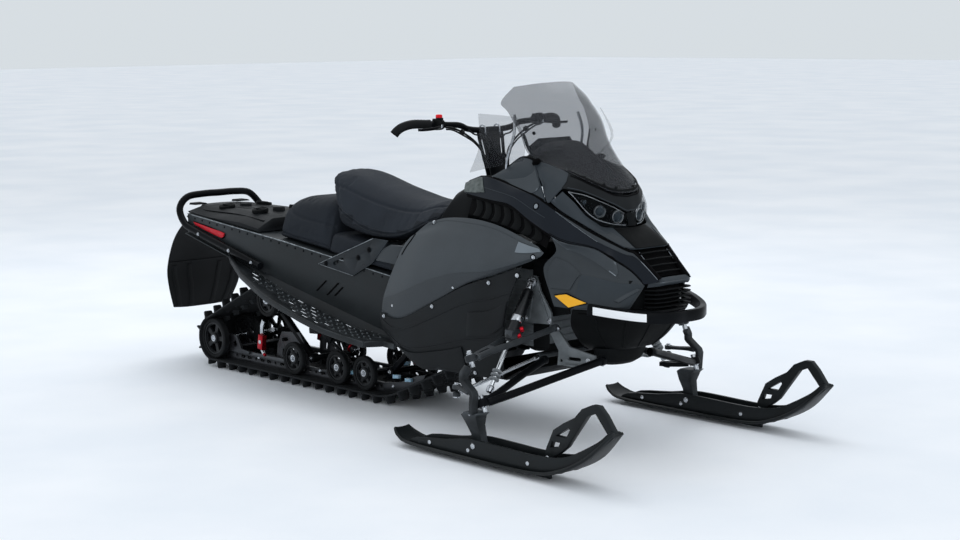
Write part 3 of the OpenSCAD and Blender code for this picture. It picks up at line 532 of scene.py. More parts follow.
def build_finishes(look):
    """Every finish of the machine by a short name."""
    def own(colour):
        return list(colour) + [1]

    def deep(colour, share):
        return [c * share for c in colour[:3]] + [1]

    made = {}
    # Injection-moulded ABS, painted and clear-coated: deep blue-black with crisp reflections and a
    # slight orange peel.
    made["hood"] = surface("Clear-coated ABS", own(look.hood_colour), deep(look.hood_colour, 0.82), 0.3, 7.0,
                           0.02,
                           mottle=260, rough_spread=0.04, specular_ior_level=0.16)
    # Moulded translucent grey polycarbonate of the hood's rear corner: milky, slightly green.
    made["vent"] = surface("Milky polycarbonate", srgb("#646a68"), srgb("#4c5250"), 0.35, 9.0, 0.05,
                           mottle=18)
    # Injection-moulded ABS with a spark-eroded texture: charcoal that spreads its highlights softly.
    made["nose"] = surface("Textured ABS", own(look.nose_colour), deep(look.nose_colour, 0.86), 0.48, 0.9,
                           0.03,
                           edge=srgb("#4a5057"))
    # Injection-moulded ABS in grey, satin from the mould: paler, with broad soft reflections.
    made["side"] = surface("Satin grey ABS", own(look.side_colour), deep(look.side_colour, 0.88), 0.38, 1.2,
                           0.02,
                           edge=srgb("#7c838a"))
    # Painted light on the same grey ABS, for faces that turn down or up: a darker copy as painted shade on
    # bands and facets, and a much paler copy as a painted highlight on the front tip.
    made["side_dark"] = surface("Satin grey ABS, painted shade", deep(look.side_colour, 0.78),
                                deep(look.side_colour, 0.68), 0.42, 1.2, 0.02)
    made["side_pale"] = surface("Satin grey ABS, painted highlight", deep(look.side_colour, 3.2),
                                deep(look.side_colour, 2.8), 0.36, 1.2, 0.02)
    # Injection-moulded talc-filled polypropylene: near black, dull, pebbled, scuffed grey at its edges.
    made["low"] = surface("Pebbled polypropylene", srgb("#0d0f10"), srgb("#090a0b"), 0.58, 1.4, 0.07,
                          edge=srgb("#202427"), specular_ior_level=0.07)
    # The same polypropylene a shade greyer, on the broad lower panels and the cowl.
    made["low_grey"] = surface("Pebbled polypropylene, greyer", srgb("#1c1f21"), srgb("#121416"), 0.58, 1.4,
                               0.07,
                               mottle=160, edge=srgb("#34383b"), specular_ior_level=0.15)
    # Injection-moulded nylon-filled polypropylene in dark grey, as on consoles: dull with a fine pebble.
    made["console"] = surface("Pebbled grey polypropylene", own(look.console_colour),
                              deep(look.console_colour, 0.85), 0.5,
                              1.3, 0.06, edge=srgb("#3c4145"), specular_ior_level=0.1)
    # Painted shade: a near-black, dull finish with almost no highlight, laid in panel gaps, slots, recesses,
    # under panel edges and behind openings in place of the shade inside them; the dash's gauge face and
    # buttons use it too.
    made["gap"] = surface("Painted gap shade", srgb("#050506"), srgb("#020203"), 0.95, 2.0, 0.05,
                          specular_ior_level=0.1)
    # Marine vinyl vacuum-formed over foam: leather grain with a low sheen.
    made["vinyl"] = hide("Formed marine vinyl", own(look.seat_colour), deep(look.seat_colour, 0.8), 0.52)
    # Painted shade: a darker copy of the vinyl on the skirts, the lower sides of both pads; the rear seat
    # takes a second darker copy.
    made["vinyl_painted_shade"] = hide("Formed marine vinyl, painted shade", deep(look.seat_colour, 0.62),
                              deep(look.seat_colour, 0.5), 0.56)
    made["vinyl_rear"] = hide("Formed marine vinyl, rear", deep(look.seat_colour, 0.8),
                              deep(look.seat_colour, 0.66), 0.54)
    # Bonded polyester thread: slightly paler than the vinyl, with a silky twist.
    made["thread"] = surface("Bonded polyester thread", srgb("#4a4e52"), srgb("#3c4044"), 0.5, 0.4, 0.05,
                             mottle=20)
    # Rolled aluminium sheet with a baked black powder coat: faint orange peel, bright where boots rub
    # its edges.
    made["sheet"] = surface("Powder-coated aluminium sheet", srgb("#1c2022"), srgb("#141719"), 0.42, 3.5,
                            0.03,
                            edge=srgb("#6d7479"))
    # The same sheet where its folded edge is rubbed bright.
    made["rubbed"] = surface("Rubbed aluminium edge", srgb("#9aa0a5"), srgb("#62686c"), 0.34, 1.2, 0.03,
                             mottle=25, metallic=0.7)
    # Pressed steel bracket, painted blue-black: smooth with a cold highlight.
    made["bracket"] = surface("Painted pressed steel", srgb("#1c2227"), srgb("#151a1e"), 0.34, 4.0, 0.03,
                              edge=srgb("#7a8289"))
    # Extruded aluminium, die-cut and coated black: fine draw lines along its length.
    made["board"] = surface("Coated extruded aluminium", srgb("#1f2326"), srgb("#16191b"), 0.44, 1.6, 0.03,
                            lines=(0.08, 1, 1), edge=srgb("#8a9196"))
    # Bent steel tube with a thick powder coat: smooth, dark, with a long soft highlight.
    made["tube"] = surface("Powder-coated steel tube", srgb("#0b0d10"), srgb("#07080a"), 0.36, 4.0, 0.03,
                           edge=srgb("#262a2e"), specular_ior_level=0.06)
    # Hot-forged steel under an e-coat: scale pits and uneven dullness.
    made["forged"] = surface("E-coated forged steel", srgb("#2b2e31"), srgb("#1d2022"), 0.47, 2.6, 0.14,
                             mottle=35, edge=srgb("#7e858b"))
    # Compression-moulded rubber with cord inside: dead matt, dusty grey bloom, fine speckle.
    made["rubber"] = surface("Moulded track rubber", srgb("#1a1c1e"), srgb("#0f1011"), 0.78, 1.1, 0.09,
                             mottle=45,
                             edge=srgb("#3b3e41"))
    # Extruded rubber sheet: smoother and blacker than the track.
    made["flap"] = surface("Calendered rubber sheet", srgb("#121416"), srgb("#0c0e10"), 0.6, 2.2, 0.05,
                           mottle=110,
                           edge=srgb("#262a2e"))
    # Soft thermoplastic rubber moulded on the bar: dull with a tight pebble.
    made["grip"] = surface("Moulded grip rubber", srgb("#17181a"), srgb("#0f1011"), 0.7, 1.8, 0.14)
    # Extruded vinyl cable jacket: smooth, with a narrow dull highlight.
    made["cable"] = surface("Cable jacket", srgb("#141516"), srgb("#0d0e0f"), 0.45, 3.0, 0.03)
    # Pressed polyethylene: waxy near-black with long scratches from the snow.
    made["ski"] = surface("Pressed polyethylene", srgb("#15191b"), srgb("#0f1213"), 0.44, 1.5, 0.06,
                          lines=(0.05, 1, 1), edge=srgb("#393f43"))
    # Die-cast aluminium, shot-blasted: pale grey with a sparkling grain.
    made["cast"] = surface("Shot-blasted cast aluminium", srgb("#787d80"), srgb("#666b6e"), 0.46, 0.8, 0.05,
                           mottle=40, metallic=0.35)
    # Extruded aluminium, anodised dark: brown-grey with drawn lines.
    made["rail"] = surface("Dark anodised extrusion", srgb("#3c3d40"), srgb("#2d2e31"), 0.38, 1.2, 0.02,
                           lines=(0.05, 1, 1), metallic=0.75, edge=srgb("#878b8f"))
    # Turned steel with bright zinc: silvery with fine lathe lines and a slight blue cast.
    made["zinc"] = surface("Zinc-plated steel", srgb("#c9ccd0"), srgb("#aeb2b7"), 0.24, 0.9, 0.01, mottle=30,
                           metallic=1.0)
    # Hard-chromed and ground shaft: a clean mirror line.
    made["chrome"] = surface("Ground chromed shaft", srgb("#d9dcdf"), srgb("#c6cacd"), 0.1, 0.6, 0.004,
                             metallic=1.0,
                             rough_spread=0.04)
    # Aluminium, machined and dyed red in the anodising bath: metallic red with tool marks.
    made["red_metal"] = surface("Red anodised aluminium", srgb("#c3182a"), srgb("#94101d"), 0.3, 0.8, 0.01,
                                metallic=0.85)
    # Moulded red nylon button: even and slightly glossy.
    made["red_plastic"] = surface("Moulded red nylon", srgb("#e01b26"), srgb("#bb141d"), 0.35, 1.5, 0.02)
    # Hard-anodised aluminium shock body: smooth and black with a thin highlight.
    made["shock"] = surface("Black anodised aluminium", srgb("#1d1f22"), srgb("#141618"), 0.3, 1.0, 0.01,
                            metallic=0.5,
                            edge=srgb("#6a7076"))
    # Moulded nylon wheel core: black, faintly glossy.
    made["nylon"] = surface("Moulded black nylon", srgb("#1f2123"), srgb("#161719"), 0.42, 1.6, 0.04,
                            edge=srgb("#4a4e52"))
    # Painted shade: pale blue blocks on the rails in the colour of the shaded snow that shows through the
    # gaps there.
    made["acetal"] = surface("Moulded blue acetal", srgb("#9fc3d8"), srgb("#8db1c8"), 0.4, 1.5, 0.02,
                             subsurface_weight=0.1)
    # White reflective film on the bumper: even white with a weak sparkle.
    made["film"] = surface("White film", srgb("#fdfeff"), srgb("#f6f8fa"), 0.4, 0.7, 0.01, sheen_weight=0.2)
    # Moulded urethane bump discs on the dampers: pale grey and waxy.
    made["bump"] = surface("Moulded urethane", srgb("#85898c"), srgb("#6f7376"), 0.5, 1.6, 0.03)
    # Glass of the projectors: dark, faintly blue, with a soft broad highlight.
    made["lens_core"] = surface("Projector glass", srgb("#4b565f"), srgb("#39434b"), 0.3, 9.0, 0.01,
                                rough_spread=0.01)
    # Bright trim in the lamp: vacuum-metallised plastic.
    made["mirror"] = surface("Metallised reflector", srgb("#d6dbdf"), srgb("#bcc2c7"), 0.32, 5.0, 0.01,
                             rough_spread=0.01, metallic=1.0)
    # Silver for the hood's quarter-turn knobs and the grille's side bars; the pale lines on the hood's
    # creases and the bar at the cheek's front are painted highlight.
    made["silver"] = surface("Silver trim and painted highlight", srgb("#8d949a"), srgb("#767d83"), 0.4, 0.6, 0.01,
                             metallic=0.4)
    # Moulded polycarbonate lamp cover: clear with a hard coat.
    made["lens"] = pane("Hard-coated clear polycarbonate", srgb("#0c0f11"), 0.25, 0.3,
                        specular_ior_level=0.05)
    # Smoke-tinted polycarbonate, drape-formed: grey over the snow with soft reflections.
    made["smoke"] = pane("Smoked polycarbonate", own(look.screen_colour), 0.38, 0.3, specular_ior_level=0.3)
    made["smoke_thin"] = pane("Light smoked polycarbonate", own(look.screen_colour), 0.18, 0.3,
                              specular_ior_level=0.3)
    # Red acrylic with a moulded prism pattern.
    made["red_lens"] = pane("Red prismatic acrylic", srgb("#c41c2a"), 0.96, 0.12, ribs=5.0)
    # Amber acrylic reflex reflector: small prism cells that catch the light.
    made["amber"] = pane("Amber prismatic acrylic", srgb("#f8b42c"), 1.0, 0.15, ribs=4.0)
    return made


FINISH = {}


# ---------- settings ----------
def colour_setting(name, code, text):
    return FloatVectorProperty(name=name, description=text, subtype="COLOR", size=3, min=0, max=1,
                               default=srgb(code)[:3])


def size_setting(name, value, low, high, text):
    return FloatProperty(name=name, description=text, default=value, min=low, max=high, unit="LENGTH",
                         precision=4)


class SNOWMOBILE_PG_look(bpy.types.PropertyGroup):
    """Colours and small sizes of the machine"""
    hood_colour: colour_setting("Hood", "#121820", "Gloss paint of the hood and its long bands")
    nose_colour: colour_setting("Nose", "#343a3f", "Textured plastic of the cowl, brow and cheeks")
    side_colour: colour_setting("Side Panels", "#404549", "Satin plastic of the side panels")
    console_colour: colour_setting("Console", "#141618", "Pebbled plastic of the console and rear deck")
    seat_colour: colour_setting("Seats", "#2d3137", "Vinyl of both seats")
    screen_colour: colour_setting("Screen", "#3a3c40", "Tint of the windshield")
    panel_depth: size_setting("Panel Depth", 0.004, 0.002, 0.006, "Wall of the moulded panels")
    # the gaps are near-black strips of painted shade laid on the panels
    gap_width: size_setting("Gap Width", 0.005, 0.002, 0.01, "Width of the dark gaps between panels")
    bolt_size: size_setting("Bolt Size", 0.012, 0.006, 0.02, "Across the heads of the body bolts")
    lug_rows: IntProperty(name="Lug Rows", description="Rows of lugs round the track", default=48, min=30,
                          max=60)
    stitch_pitch: size_setting("Stitch Pitch", 0.0075, 0.004, 0.015,
                               "From one stitch of the seats to the next")
    pad_fill: FloatProperty(name="Pad Fill", description="How full the seats are", default=0.85, min=0, max=1,
                            subtype="FACTOR")


def look():
    return bpy.context.scene.snowmobile_look


# ---------- nets of the panels ----------
# Half nets on the rider's left. Rows run to the front or down, columns outwards or down.

BAND_NET = [[[470, 190, 893], [478, 203, 876], [486, 212, 858]],
            [[560, 192, 919], [566, 212, 885], [575, 224, 849]],
            [[640, 200, 912], [650, 222, 877], [655, 234, 843]],
            [[760, 212, 888], [758, 232, 862], [752, 242, 834]],
            [[850, 222, 868], [852, 236, 828], [850, 244, 787]],
            [[905, 222, 845], [912, 234, 806], [947, 243, 746]],
            [[961, 200, 809], [978, 212, 778], [1005, 222, 722]],
            [[1062, 155, 748], [1075, 165, 728], [1090, 175, 706]],
            [[1172, 110, 697], [1160, 122, 682], [1150, 132, 664]],
            [[1206, 92, 681], [1208, 102, 655], [1205, 114, 632]],
            [[1299, 80, 602], [1280, 90, 596], [1250, 101, 590]]]

INLAY_NET = [[[600, 188, 922], [606, 191, 921], [612, 194, 919]],
             [[668, 165, 962], [664, 185, 939], [662, 201, 913]],
             [[712, 147, 993], [735, 185, 947], [755, 210, 892]],
             [[775, 150, 986], [815, 190, 932], [845, 219, 872]],
             [[798, 170, 968], [862, 204, 908], [902, 219, 853]]]

STRIP_NET = [[[764, 146, 989], [803, 169, 969], [874, 199, 910]],
             [[850, 142, 971], [883, 180, 926], [909, 217, 851]],
             [[900, 140, 958], [918, 178, 919], [932, 203, 875]],
             [[934, 138, 948], [948, 165, 921], [946, 185, 900]]]

COWL_NET = [[[1082, 0, 872], [1079, 30, 875], [1073, 60, 878], [1050, 85, 893], [1026, 105, 907],
             [975, 126, 930], [938, 138, 947]],
            [[1092, 0, 845], [1089, 26, 847], [1080, 62, 860], [1058, 90, 876], [1034, 112, 890],
             [988, 138, 913], [944, 163, 922]],
            [[1098, 0, 818], [1095, 22, 818], [1083, 65, 842], [1062, 95, 858], [1040, 120, 873],
             [997, 150, 890], [949, 186, 900]]]

BROW_NET = [[[1106, 0, 764], [1104, 22, 764], [1090, 70, 766], [1071, 108, 769], [1050, 125, 784],
             [1020, 147, 810], [988, 164, 850], [950, 184, 888]],
            [[1160, 0, 733], [1158, 35, 733], [1150, 72, 734], [1120, 111, 736], [1080, 133, 759],
             [1030, 156, 790], [978, 181, 836], [936, 202, 868]],
            [[1199, 0, 703], [1199, 37, 703], [1196, 72, 703], [1169, 104, 706], [1104, 129, 736],
             [1035, 159, 775], [956, 193, 821], [912, 208, 854]]]

LIP_NET = [[[1290, 0, 612], [1290, 40, 612], [1288, 70, 610], [1262, 88, 603]],
           [[1303, 0, 598], [1303, 40, 598], [1300, 72, 597], [1262, 92, 594]],
           [[1296, 0, 586], [1296, 40, 586], [1292, 74, 584], [1256, 94, 578]]]

CHEEK_NET = [[[1250, 103, 587], [1205, 116, 628], [1150, 134, 660], [1090, 177, 702],
              [1005, 224, 718], [952, 244, 740]],
             [[1251, 103, 586], [1200, 124, 610], [1163, 140, 617], [1076, 172, 655], [1001, 212, 691],
              [975, 240, 690]],
             [[1252, 103, 584], [1190, 136, 584], [1123, 171, 594], [1068, 206, 613], [1020, 225, 630],
              [934, 260, 634]],
             [[1240, 110, 560], [1180, 150, 550], [1120, 190, 550], [1070, 222, 548], [1030, 238, 545],
              [962, 258, 548]],
             [[1215, 135, 506], [1165, 190, 505], [1115, 222, 503], [1080, 240, 503], [1050, 248, 503],
              [976, 252, 503]]]

SIDE_NET = [[[321, 240, 742], [262, 246, 702], [190, 256, 640], [125, 278, 500], [106, 300, 396]],
            [[420, 238, 765], [400, 254, 735], [350, 286, 660], [290, 312, 530], [232, 315, 387]],
            [[560, 244, 772], [550, 270, 730], [540, 312, 645], [500, 326, 570], [430, 323, 470]],
            [[700, 254, 760], [695, 276, 722], [690, 320, 634], [670, 326, 590], [600, 325, 547]],
            [[830, 266, 731], [832, 284, 702], [830, 312, 650], [800, 314, 625], [740, 316, 592]],
            [[930, 280, 705], [948, 286, 696], [962, 290, 688], [952, 290, 676], [925, 292, 662]]]

LOWER_NET = [[[106, 300, 392], [112, 302, 360], [124, 300, 324]],
             [[232, 315, 383], [245, 316, 300], [301, 284, 212]],
             [[430, 323, 466], [435, 320, 330], [430, 274, 212]],
             [[600, 325, 543], [605, 318, 380], [600, 270, 214]],
             [[725, 317, 583], [715, 312, 400], [690, 265, 216]],
             [[830, 308, 618], [782, 312, 440], [722, 263, 219]],
             [[868, 301, 634], [796, 309, 462], [735, 262, 222]]]

BELLY_NET = [[[1285, 0, 500], [1262, 108, 500], [1178, 186, 499], [1050, 240, 498]],
             [[1240, 0, 440], [1222, 100, 440], [1140, 172, 440], [1030, 226, 440]],
             [[1190, 0, 385], [1176, 80, 382], [1100, 120, 376], [1010, 160, 372]],
             [[1140, 0, 352], [1120, 56, 348], [1060, 84, 342], [990, 95, 338]],
             [[960, 0, 338], [960, 40, 338], [960, 70, 338], [960, 90, 338]]]

LAMP_NET = [[[1096, 24, 814], [1083, 65, 837], [1040, 119, 868], [998, 150, 885], [962, 176, 893]],
            [[1108, 24, 790], [1096, 68, 804], [1060, 122, 826], [1012, 155, 858], [964, 177, 889]],
            [[1105, 24, 769], [1090, 70, 773], [1053, 124, 792], [1011, 152, 831], [966, 176, 884]]]

SCREEN_NET = [[[756, 0, 1253], [752, 35, 1252], [730, 90, 1248], [679, 151, 1237]],
              [[815, 0, 1222], [808, 45, 1219], [765, 115, 1207], [662, 198, 1185]],
              [[858, 0, 1190], [850, 45, 1186], [800, 115, 1173], [693, 193, 1150]],
              [[915, 0, 1130], [908, 45, 1127], [850, 115, 1108], [735, 176, 1075]],
              [[985, 0, 1030], [968, 45, 1025], [905, 95, 1010], [760, 147, 996]],
              [[1080, 0, 880], [1072, 60, 886], [1025, 104, 914], [934, 136, 955]]]


class Builder:
    """What every operator of this panel shares."""
    bl_options = {"REGISTER", "UNDO"}

    def execute(self, context):
        if not FINISH:
            FINISH.update(build_finishes(look()))
        self.build(FINISH)
        return {"FINISHED"}


def seam(shape, net, path, width, finish, lift=0.3, depth=1.6, steps=6):
    """A thin flat strip laid on a net along a path of u and v."""
    spots = on_net(net, smooth(path, steps), lift)
    normals = [net_at(net, p[0], p[1])[1] for p in smooth(path, steps)]
    rings = []
    for i, p in enumerate(spots):
        way = (Vector(spots[min(i + 1, len(spots) - 1)]) - Vector(spots[max(i - 1, 0)])).normalized()
        side, up, here = way.cross(normals[i]).normalized() * width / 2, normals[i] * depth / 2, Vector(p)
        rings.append([list(here + side * 0.8 + up), list(here - side * 0.8 + up), list(here - side - up),
                      list(here + side - up)])
    shape.loft(rings, finish)


def facet(shape, net, first, second, lift, finish, count=14):
    """A flat-sided patch raised on a net between two lines of u and v."""
    way, over = Vector(first[-1]) - Vector(first[0]), Vector(second[0]) - Vector(first[0])
    if way.x * over.y < way.y * over.x:
        first, second = second, first
    a, b = ([line_at([[*p, 0] for p in line], k / count) for k in range(count + 1)]
            for line in (first, second))
    rows = [on_net(net, [lerp(p, q, k / count)[:2] for p, q in zip(a, b)], lift) for k in range(count + 1)]
    shape.wall(rows, lift + 1.0, finish)


def shade_liner(shape, net, v, ends, finish, size=24, under=12):
    """A dark liner strip under a panel's edge, so that no light shows through the gap beside it; in its
    near-black finish it is painted shade.
    """
    steps = 16
    points = [net_at(net, ends[0] + (ends[1] - ends[0]) * k / steps, v) for k in range(steps + 1)]
    shape.tube([list(Vector(p) - normal * under) for p, normal in points], size, finish, sides=8)


class SNOWMOBILE_OT_hood(Builder, bpy.types.Operator):
    """Cowl, long glossy bands, inlays with their gaps drawn as painted shade, and the crease lines drawn as
    painted highlight
    """
    bl_idname = "snowmobile.hood"
    bl_label = "Hood"

    def build(self, finish):
        depth, gap = look().panel_depth / MM, look().gap_width / MM
        band, inlay, strip = smooth_net(BAND_NET, 5), smooth_net(INLAY_NET, 6), smooth_net(STRIP_NET, 6)
        side = Shape()
        side.wall(band, depth, 0)
        side.wall(inlay, depth, 1)
        crease = [[0.57, 0.03], [0.64, 0.2], [0.715, 0.42], [0.82, 0.28], [0.92, 0.1]]
        # the chamfer from the band's top edge to the crease is in the darker grey as painted shade
        facet(side, band, [[0.58, 0.015], [0.75, 0.015], [0.93, 0.015]], crease, 0.5, 6)
        facet(side, band, [[0.0, 0.1], [0.1, 0.06]], [[0.0, 0.9], [0.14, 0.7]], 0.8, 7)
        side.wall(strip, depth, 2)
        # dark liners under the edges of the band and the inlay: painted shade seen through the gaps
        for net, v in ((band, 0.01), (band, 0.99), (inlay, 0.02), (inlay, 0.98)):
            shade_liner(side, net, v, (0.02, 0.99), 3)
        facet(side, inlay, [[0.3, 0.86], [0.62, 0.62], [0.86, 0.2]], [[0.4, 0.97], [0.72, 0.97], [0.97, 0.5]],
              0.5, 8)
        # painted shade lines for the gaps above and below the inlay, a fine crease at its front, and its
        # inner outline
        seam(side, inlay, [[0.03, 0.06], [0.3, 0.03], [0.6, 0.02], [0.97, 0.03]], gap, 3)
        seam(side, inlay, [[0.97, 0.97], [0.6, 0.98], [0.3, 0.98], [0.03, 0.94]], gap, 3)
        seam(side, inlay, [[0.975, 0.03], [0.985, 0.5], [0.975, 0.97]], 1.8, 4, lift=0.1)
        seam(side, inlay, [[0.3, 0.86], [0.62, 0.62], [0.86, 0.2]], 1.6, 4, lift=0.1)
        # pale lines on the band's crease as painted highlight, softer ones in the nose finish along its
        # flank, and a painted-shade line along its lower edge
        seam(side, band, crease[:3], 1.8, 5, lift=0.8)
        seam(side, band, crease[2:], 1.6, 4, lift=0.8)
        seam(side, band, [[0.9, 0.12], [0.95, 0.05], [0.99, 0.03]], 2.0, 5, lift=0.4)
        seam(side, band, [[0.05, 0.5], [0.3, 0.52], [0.5, 0.55]], 1.8, 4, lift=0.1)
        seam(side, band, [[0.5, 0.96], [0.62, 0.95], [0.8, 0.95], [0.97, 0.95]], 2.2, 3, lift=0.1)
        # recess ring in painted shade and bright silver quarter-turn at the band's top
        for u, v in ((0.43, 0.34), (0.03, 0.3)):
            point, normal = net_at(band, u, v)
            side.spin([(-2, 13), (0.6, 13), (1.4, 11.5), (0.4, 10.2), (-1, 9)], point, normal, 3, 24)
            side.spin([(-1, 8), (1.6, 8), (2.6, 6.6), (2.2, 5.2)], point, normal, 5, 20)
        side.mirrored()
        cowl = smooth_net(both_halves(COWL_NET), 4)
        side.wall(cowl, depth, 9)
        # dark tubes under the ends of the strip: painted shade seen past them
        for y in (-1, 1):
            side.tube([[878, y * 168, 908], [888, y * 180, 878], [902, y * 186, 852]], 26, 3, sides=8)
            side.tube([[880, y * 188, 848], [925, y * 182, 836], [945, y * 178, 830]], 20, 3, sides=8)
        # a painted-shade line across the cowl, and a softer crease in the nose finish
        seam(side, cowl, [[0.14, 0.02], [0.12, 0.25], [0.1, 0.5], [0.12, 0.75], [0.14, 0.98]], gap, 3,
             steps=10)
        seam(side, cowl, [[0.9, 0.03], [0.9, 0.3], [0.88, 0.5], [0.9, 0.7], [0.9, 0.97]], 2.4, 4, lift=0.1,
             steps=10)
        piece("hood_shell", side, "chassis",
              "hood nose nose gap nose silver side_dark vent side low_grey", ("hood",), bevel=0.9)


class SNOWMOBILE_OT_nose(Builder, bpy.types.Operator):
    """Brow under the lamps, the web between them, the lip over the slats, and the faceted cheeks"""
    bl_idname = "snowmobile.nose"
    bl_label = "Nose"

    def build(self, finish):
        depth = look().panel_depth / MM
        cheek = smooth_net(CHEEK_NET, 5)
        side = Shape().wall(cheek, depth, 5)
        # the cheek's own wall is in the darker grey as painted shade; paler top above the ridge in the plain
        # grey, darker face below the middle line in the nose finish as painted shade, a pentagon behind in
        # painted shade, and a pale bar at the front as a painted highlight
        ridge = [[0.02, 0.95], [0.19, 0.825], [0.19, 0.68], [0.22, 0.55], [0.28, 0.4]]
        facet(side, cheek, [[0.01, 0.95], [0.01, 0.7], [0.01, 0.4]], ridge, 0.5, 1)
        seam(side, cheek, ridge, 3.0, 1, lift=1.0, depth=2.4)
        seam(side, cheek, [[0.245, 0.47], [0.28, 0.4]], 3.4, 2, lift=1.6)
        middle = [[0.5, 0.62], [0.44, 0.4], [0.46, 0.22], [0.4, 0.04]]
        facet(side, cheek, middle, [[0.97, 0.72], [0.97, 0.4], [0.97, 0.2], [0.97, 0.03]], 0.5, 0)
        seam(side, cheek, [[0.22, 0.55], [0.28, 0.4], [0.36, 0.3]], 1.6, 1, lift=0.9)
        seam(side, cheek, middle, 2.2, 5, lift=0.7)
        facet(side, cheek, [[0.36, 0.93], [0.5, 0.63]], [[0.69, 0.97], [0.69, 0.78]], 1.4, 5)
        facet(side, cheek, [[0.64, 0.02], [0.59, 0.07]], [[0.875, 0.15], [0.845, 0.2]], 2.0, 1)
        side.mirrored()
        brow = smooth_net(both_halves(BROW_NET), 4)
        side.wall(brow, depth, 0)
        facet(side, brow, [[0.02, 0.34], [0.99, 0.34]], [[0.02, 0.66], [0.99, 0.66]], 0.4, 3, 20)
        # two facets on the brow in the darker grey are painted shade
        for way in (1, -1):
            first, second = ([[u, 0.5 + 0.5 * way * v] for u, v in line] for line in
                             ([[0.25, 0.4], [0.97, 0.69]], [[0.6, 0.34], [0.97, 0.33]]))
            facet(side, brow, first, second, 0.6, 5)
        web = both_halves([[[1098, 0, 814], [1096, 20, 814]], [[1105, 0, 768], [1103, 20, 768]]])
        side.wall(web, 3, 3)
        side.wall(smooth_net([[[1206, -128, z], [1232, -92, z], [1246, 0, z], [1232, 92, z], [1206, 128, z]]
                              for z in (600, 504)], 4), 3, 3)
        side.top_plate([[1100, -170], [1200, -150], [1270, -96], [1284, 0], [1270, 96], [1200, 150],
                        [1100, 170]], 499, 3, 3)
        lip = smooth_net(both_halves(LIP_NET), 4)
        side.wall(lip, depth, 0)
        seam(side, lip, [[0.5, 0.06], [0.52, 0.5], [0.5, 0.94]], 3.0, 1, lift=0.3, steps=12)
        piece("nose_shell", side, "chassis",
              "nose side silver low gap side_dark",
              ("nose",), bevel=0.9)


class SNOWMOBILE_OT_headlights(Builder, bpy.types.Operator):
    """Lamp covers, and behind them dark housings with two projectors and a small pod on each side"""
    bl_idname = "snowmobile.headlights"
    bl_label = "Headlights"

    def build(self, finish):
        cover = smooth_net(LAMP_NET, 6)
        lens = Shape().wall(cover, 4, 0).mirrored()
        piece("headlight_covers", lens, "chassis", "lens", ("headlights",), bevel=0.5)
        inside = Shape()
        rows = []
        for i, row in enumerate(cover):
            share = i / (len(cover) - 1)
            rows.append([list(Vector(p) - net_at(cover, share, j / (len(row) - 1))[1]
                              * (9 + 34 * math.sin(math.pi * share)
                         * math.sin(math.pi * min(1, 0.15 + 0.9 * j / (len(row) - 1))))) for j,
                         p in enumerate(row)])
        inside.wall(rows, 2.5, 0)
        for u, v, size in ((0.5, 0.2, 23), (0.52, 0.47, 21), (0.52, 0.72, 10)):
            point, normal = net_at(cover, u, v)
            face = (normal + Vector((0.9, 0.1, -0.1))).normalized()
            base = Vector(point) - normal * 11
            inside.spin([(-30, size * 0.6), (-14, size), (-3, size), (-1, size * 0.94), (-4, size * 0.84),
                         (-8, size * 0.8)],
                        base, face, 1, 28)
            inside.spin([(-12, size * 0.78), (-6, size * 0.74), (-2, size * 0.55), (0, size * 0.28),
                         (0.6, 0.4)], base, face, 2, 24)
        seam(inside, cover, [[0.06, 0.04], [0.05, 0.4], [0.06, 0.7], [0.2, 0.96]], 3.0, 1, lift=-5.5)
        seam(inside, cover, [[0.95, 0.04], [0.95, 0.4], [0.93, 0.75], [0.5, 0.97]], 3.4, 1, lift=-5.5)
        inside.mirrored()
        piece("headlight_inner", inside, "chassis", "low mirror lens_core",
              bevel=0.4)


class SNOWMOBILE_OT_grille(Builder, bpy.types.Operator):
    """Bars of the upper opening over a backing in painted shade, and the slats below the lip"""
    bl_idname = "snowmobile.grille"
    bl_label = "Front Grille"

    def build(self, finish):
        slats = Shape()
        for k in range(5):
            z = 513 + 14 * k
            line = smooth([[1250, -92, z], [1272, -88, z + 1], [1291, -70, z + 2], [1295, 0, z + 3],
                           [1291, 70, z + 2],
                           [1272, 88, z + 1], [1250, 92, z]], 4)
            slats.tube(line, [18] * len(line), 0, flat=0.28, sides=8, square=True)
        # a near-black block behind the slats is painted shade
        back = [[1262, -58], [1262, 58], [1232, 84], [1228, 80], [1256, 54], [1256, -54], [1228, -80],
                [1232, -84]]
        slats.top_plate(back, 544, 70, 1)
        top = smooth([[1186, 0, 692], [1226, 0, 652], [1266, 0, 610]], 3)
        # a near-black plate under the upper bars is painted shade in the opening
        slats.side_plate([[1183, 688], [1189, 691], [1268, 612], [1263, 608]], 0, 138, 1)
        for k in range(4):
            share = 0.14 + 0.24 * k
            x, _, z = line_at(top, share)
            slats.tube([[x + 8, -72, z + 5], [x + 10, 0, z + 7], [x + 8, 72, z + 5]], 9, 0, sides=10,
                       flat=0.6)
        # a near-black tube along the top of the opening is painted shade
        slats.tube([[1168, -104, 694], [1174, 0, 696], [1168, 104, 694]], 26, 1, sides=8)
        for y in (-69, 69):
            slats.tube([[1198, y, 690], [1234, y, 655], [1270, y, 616]], 2.6, 2, sides=8)
        piece("grille_slats", slats, "chassis", "low gap silver",
              ("front_grille",), bevel=0.5)


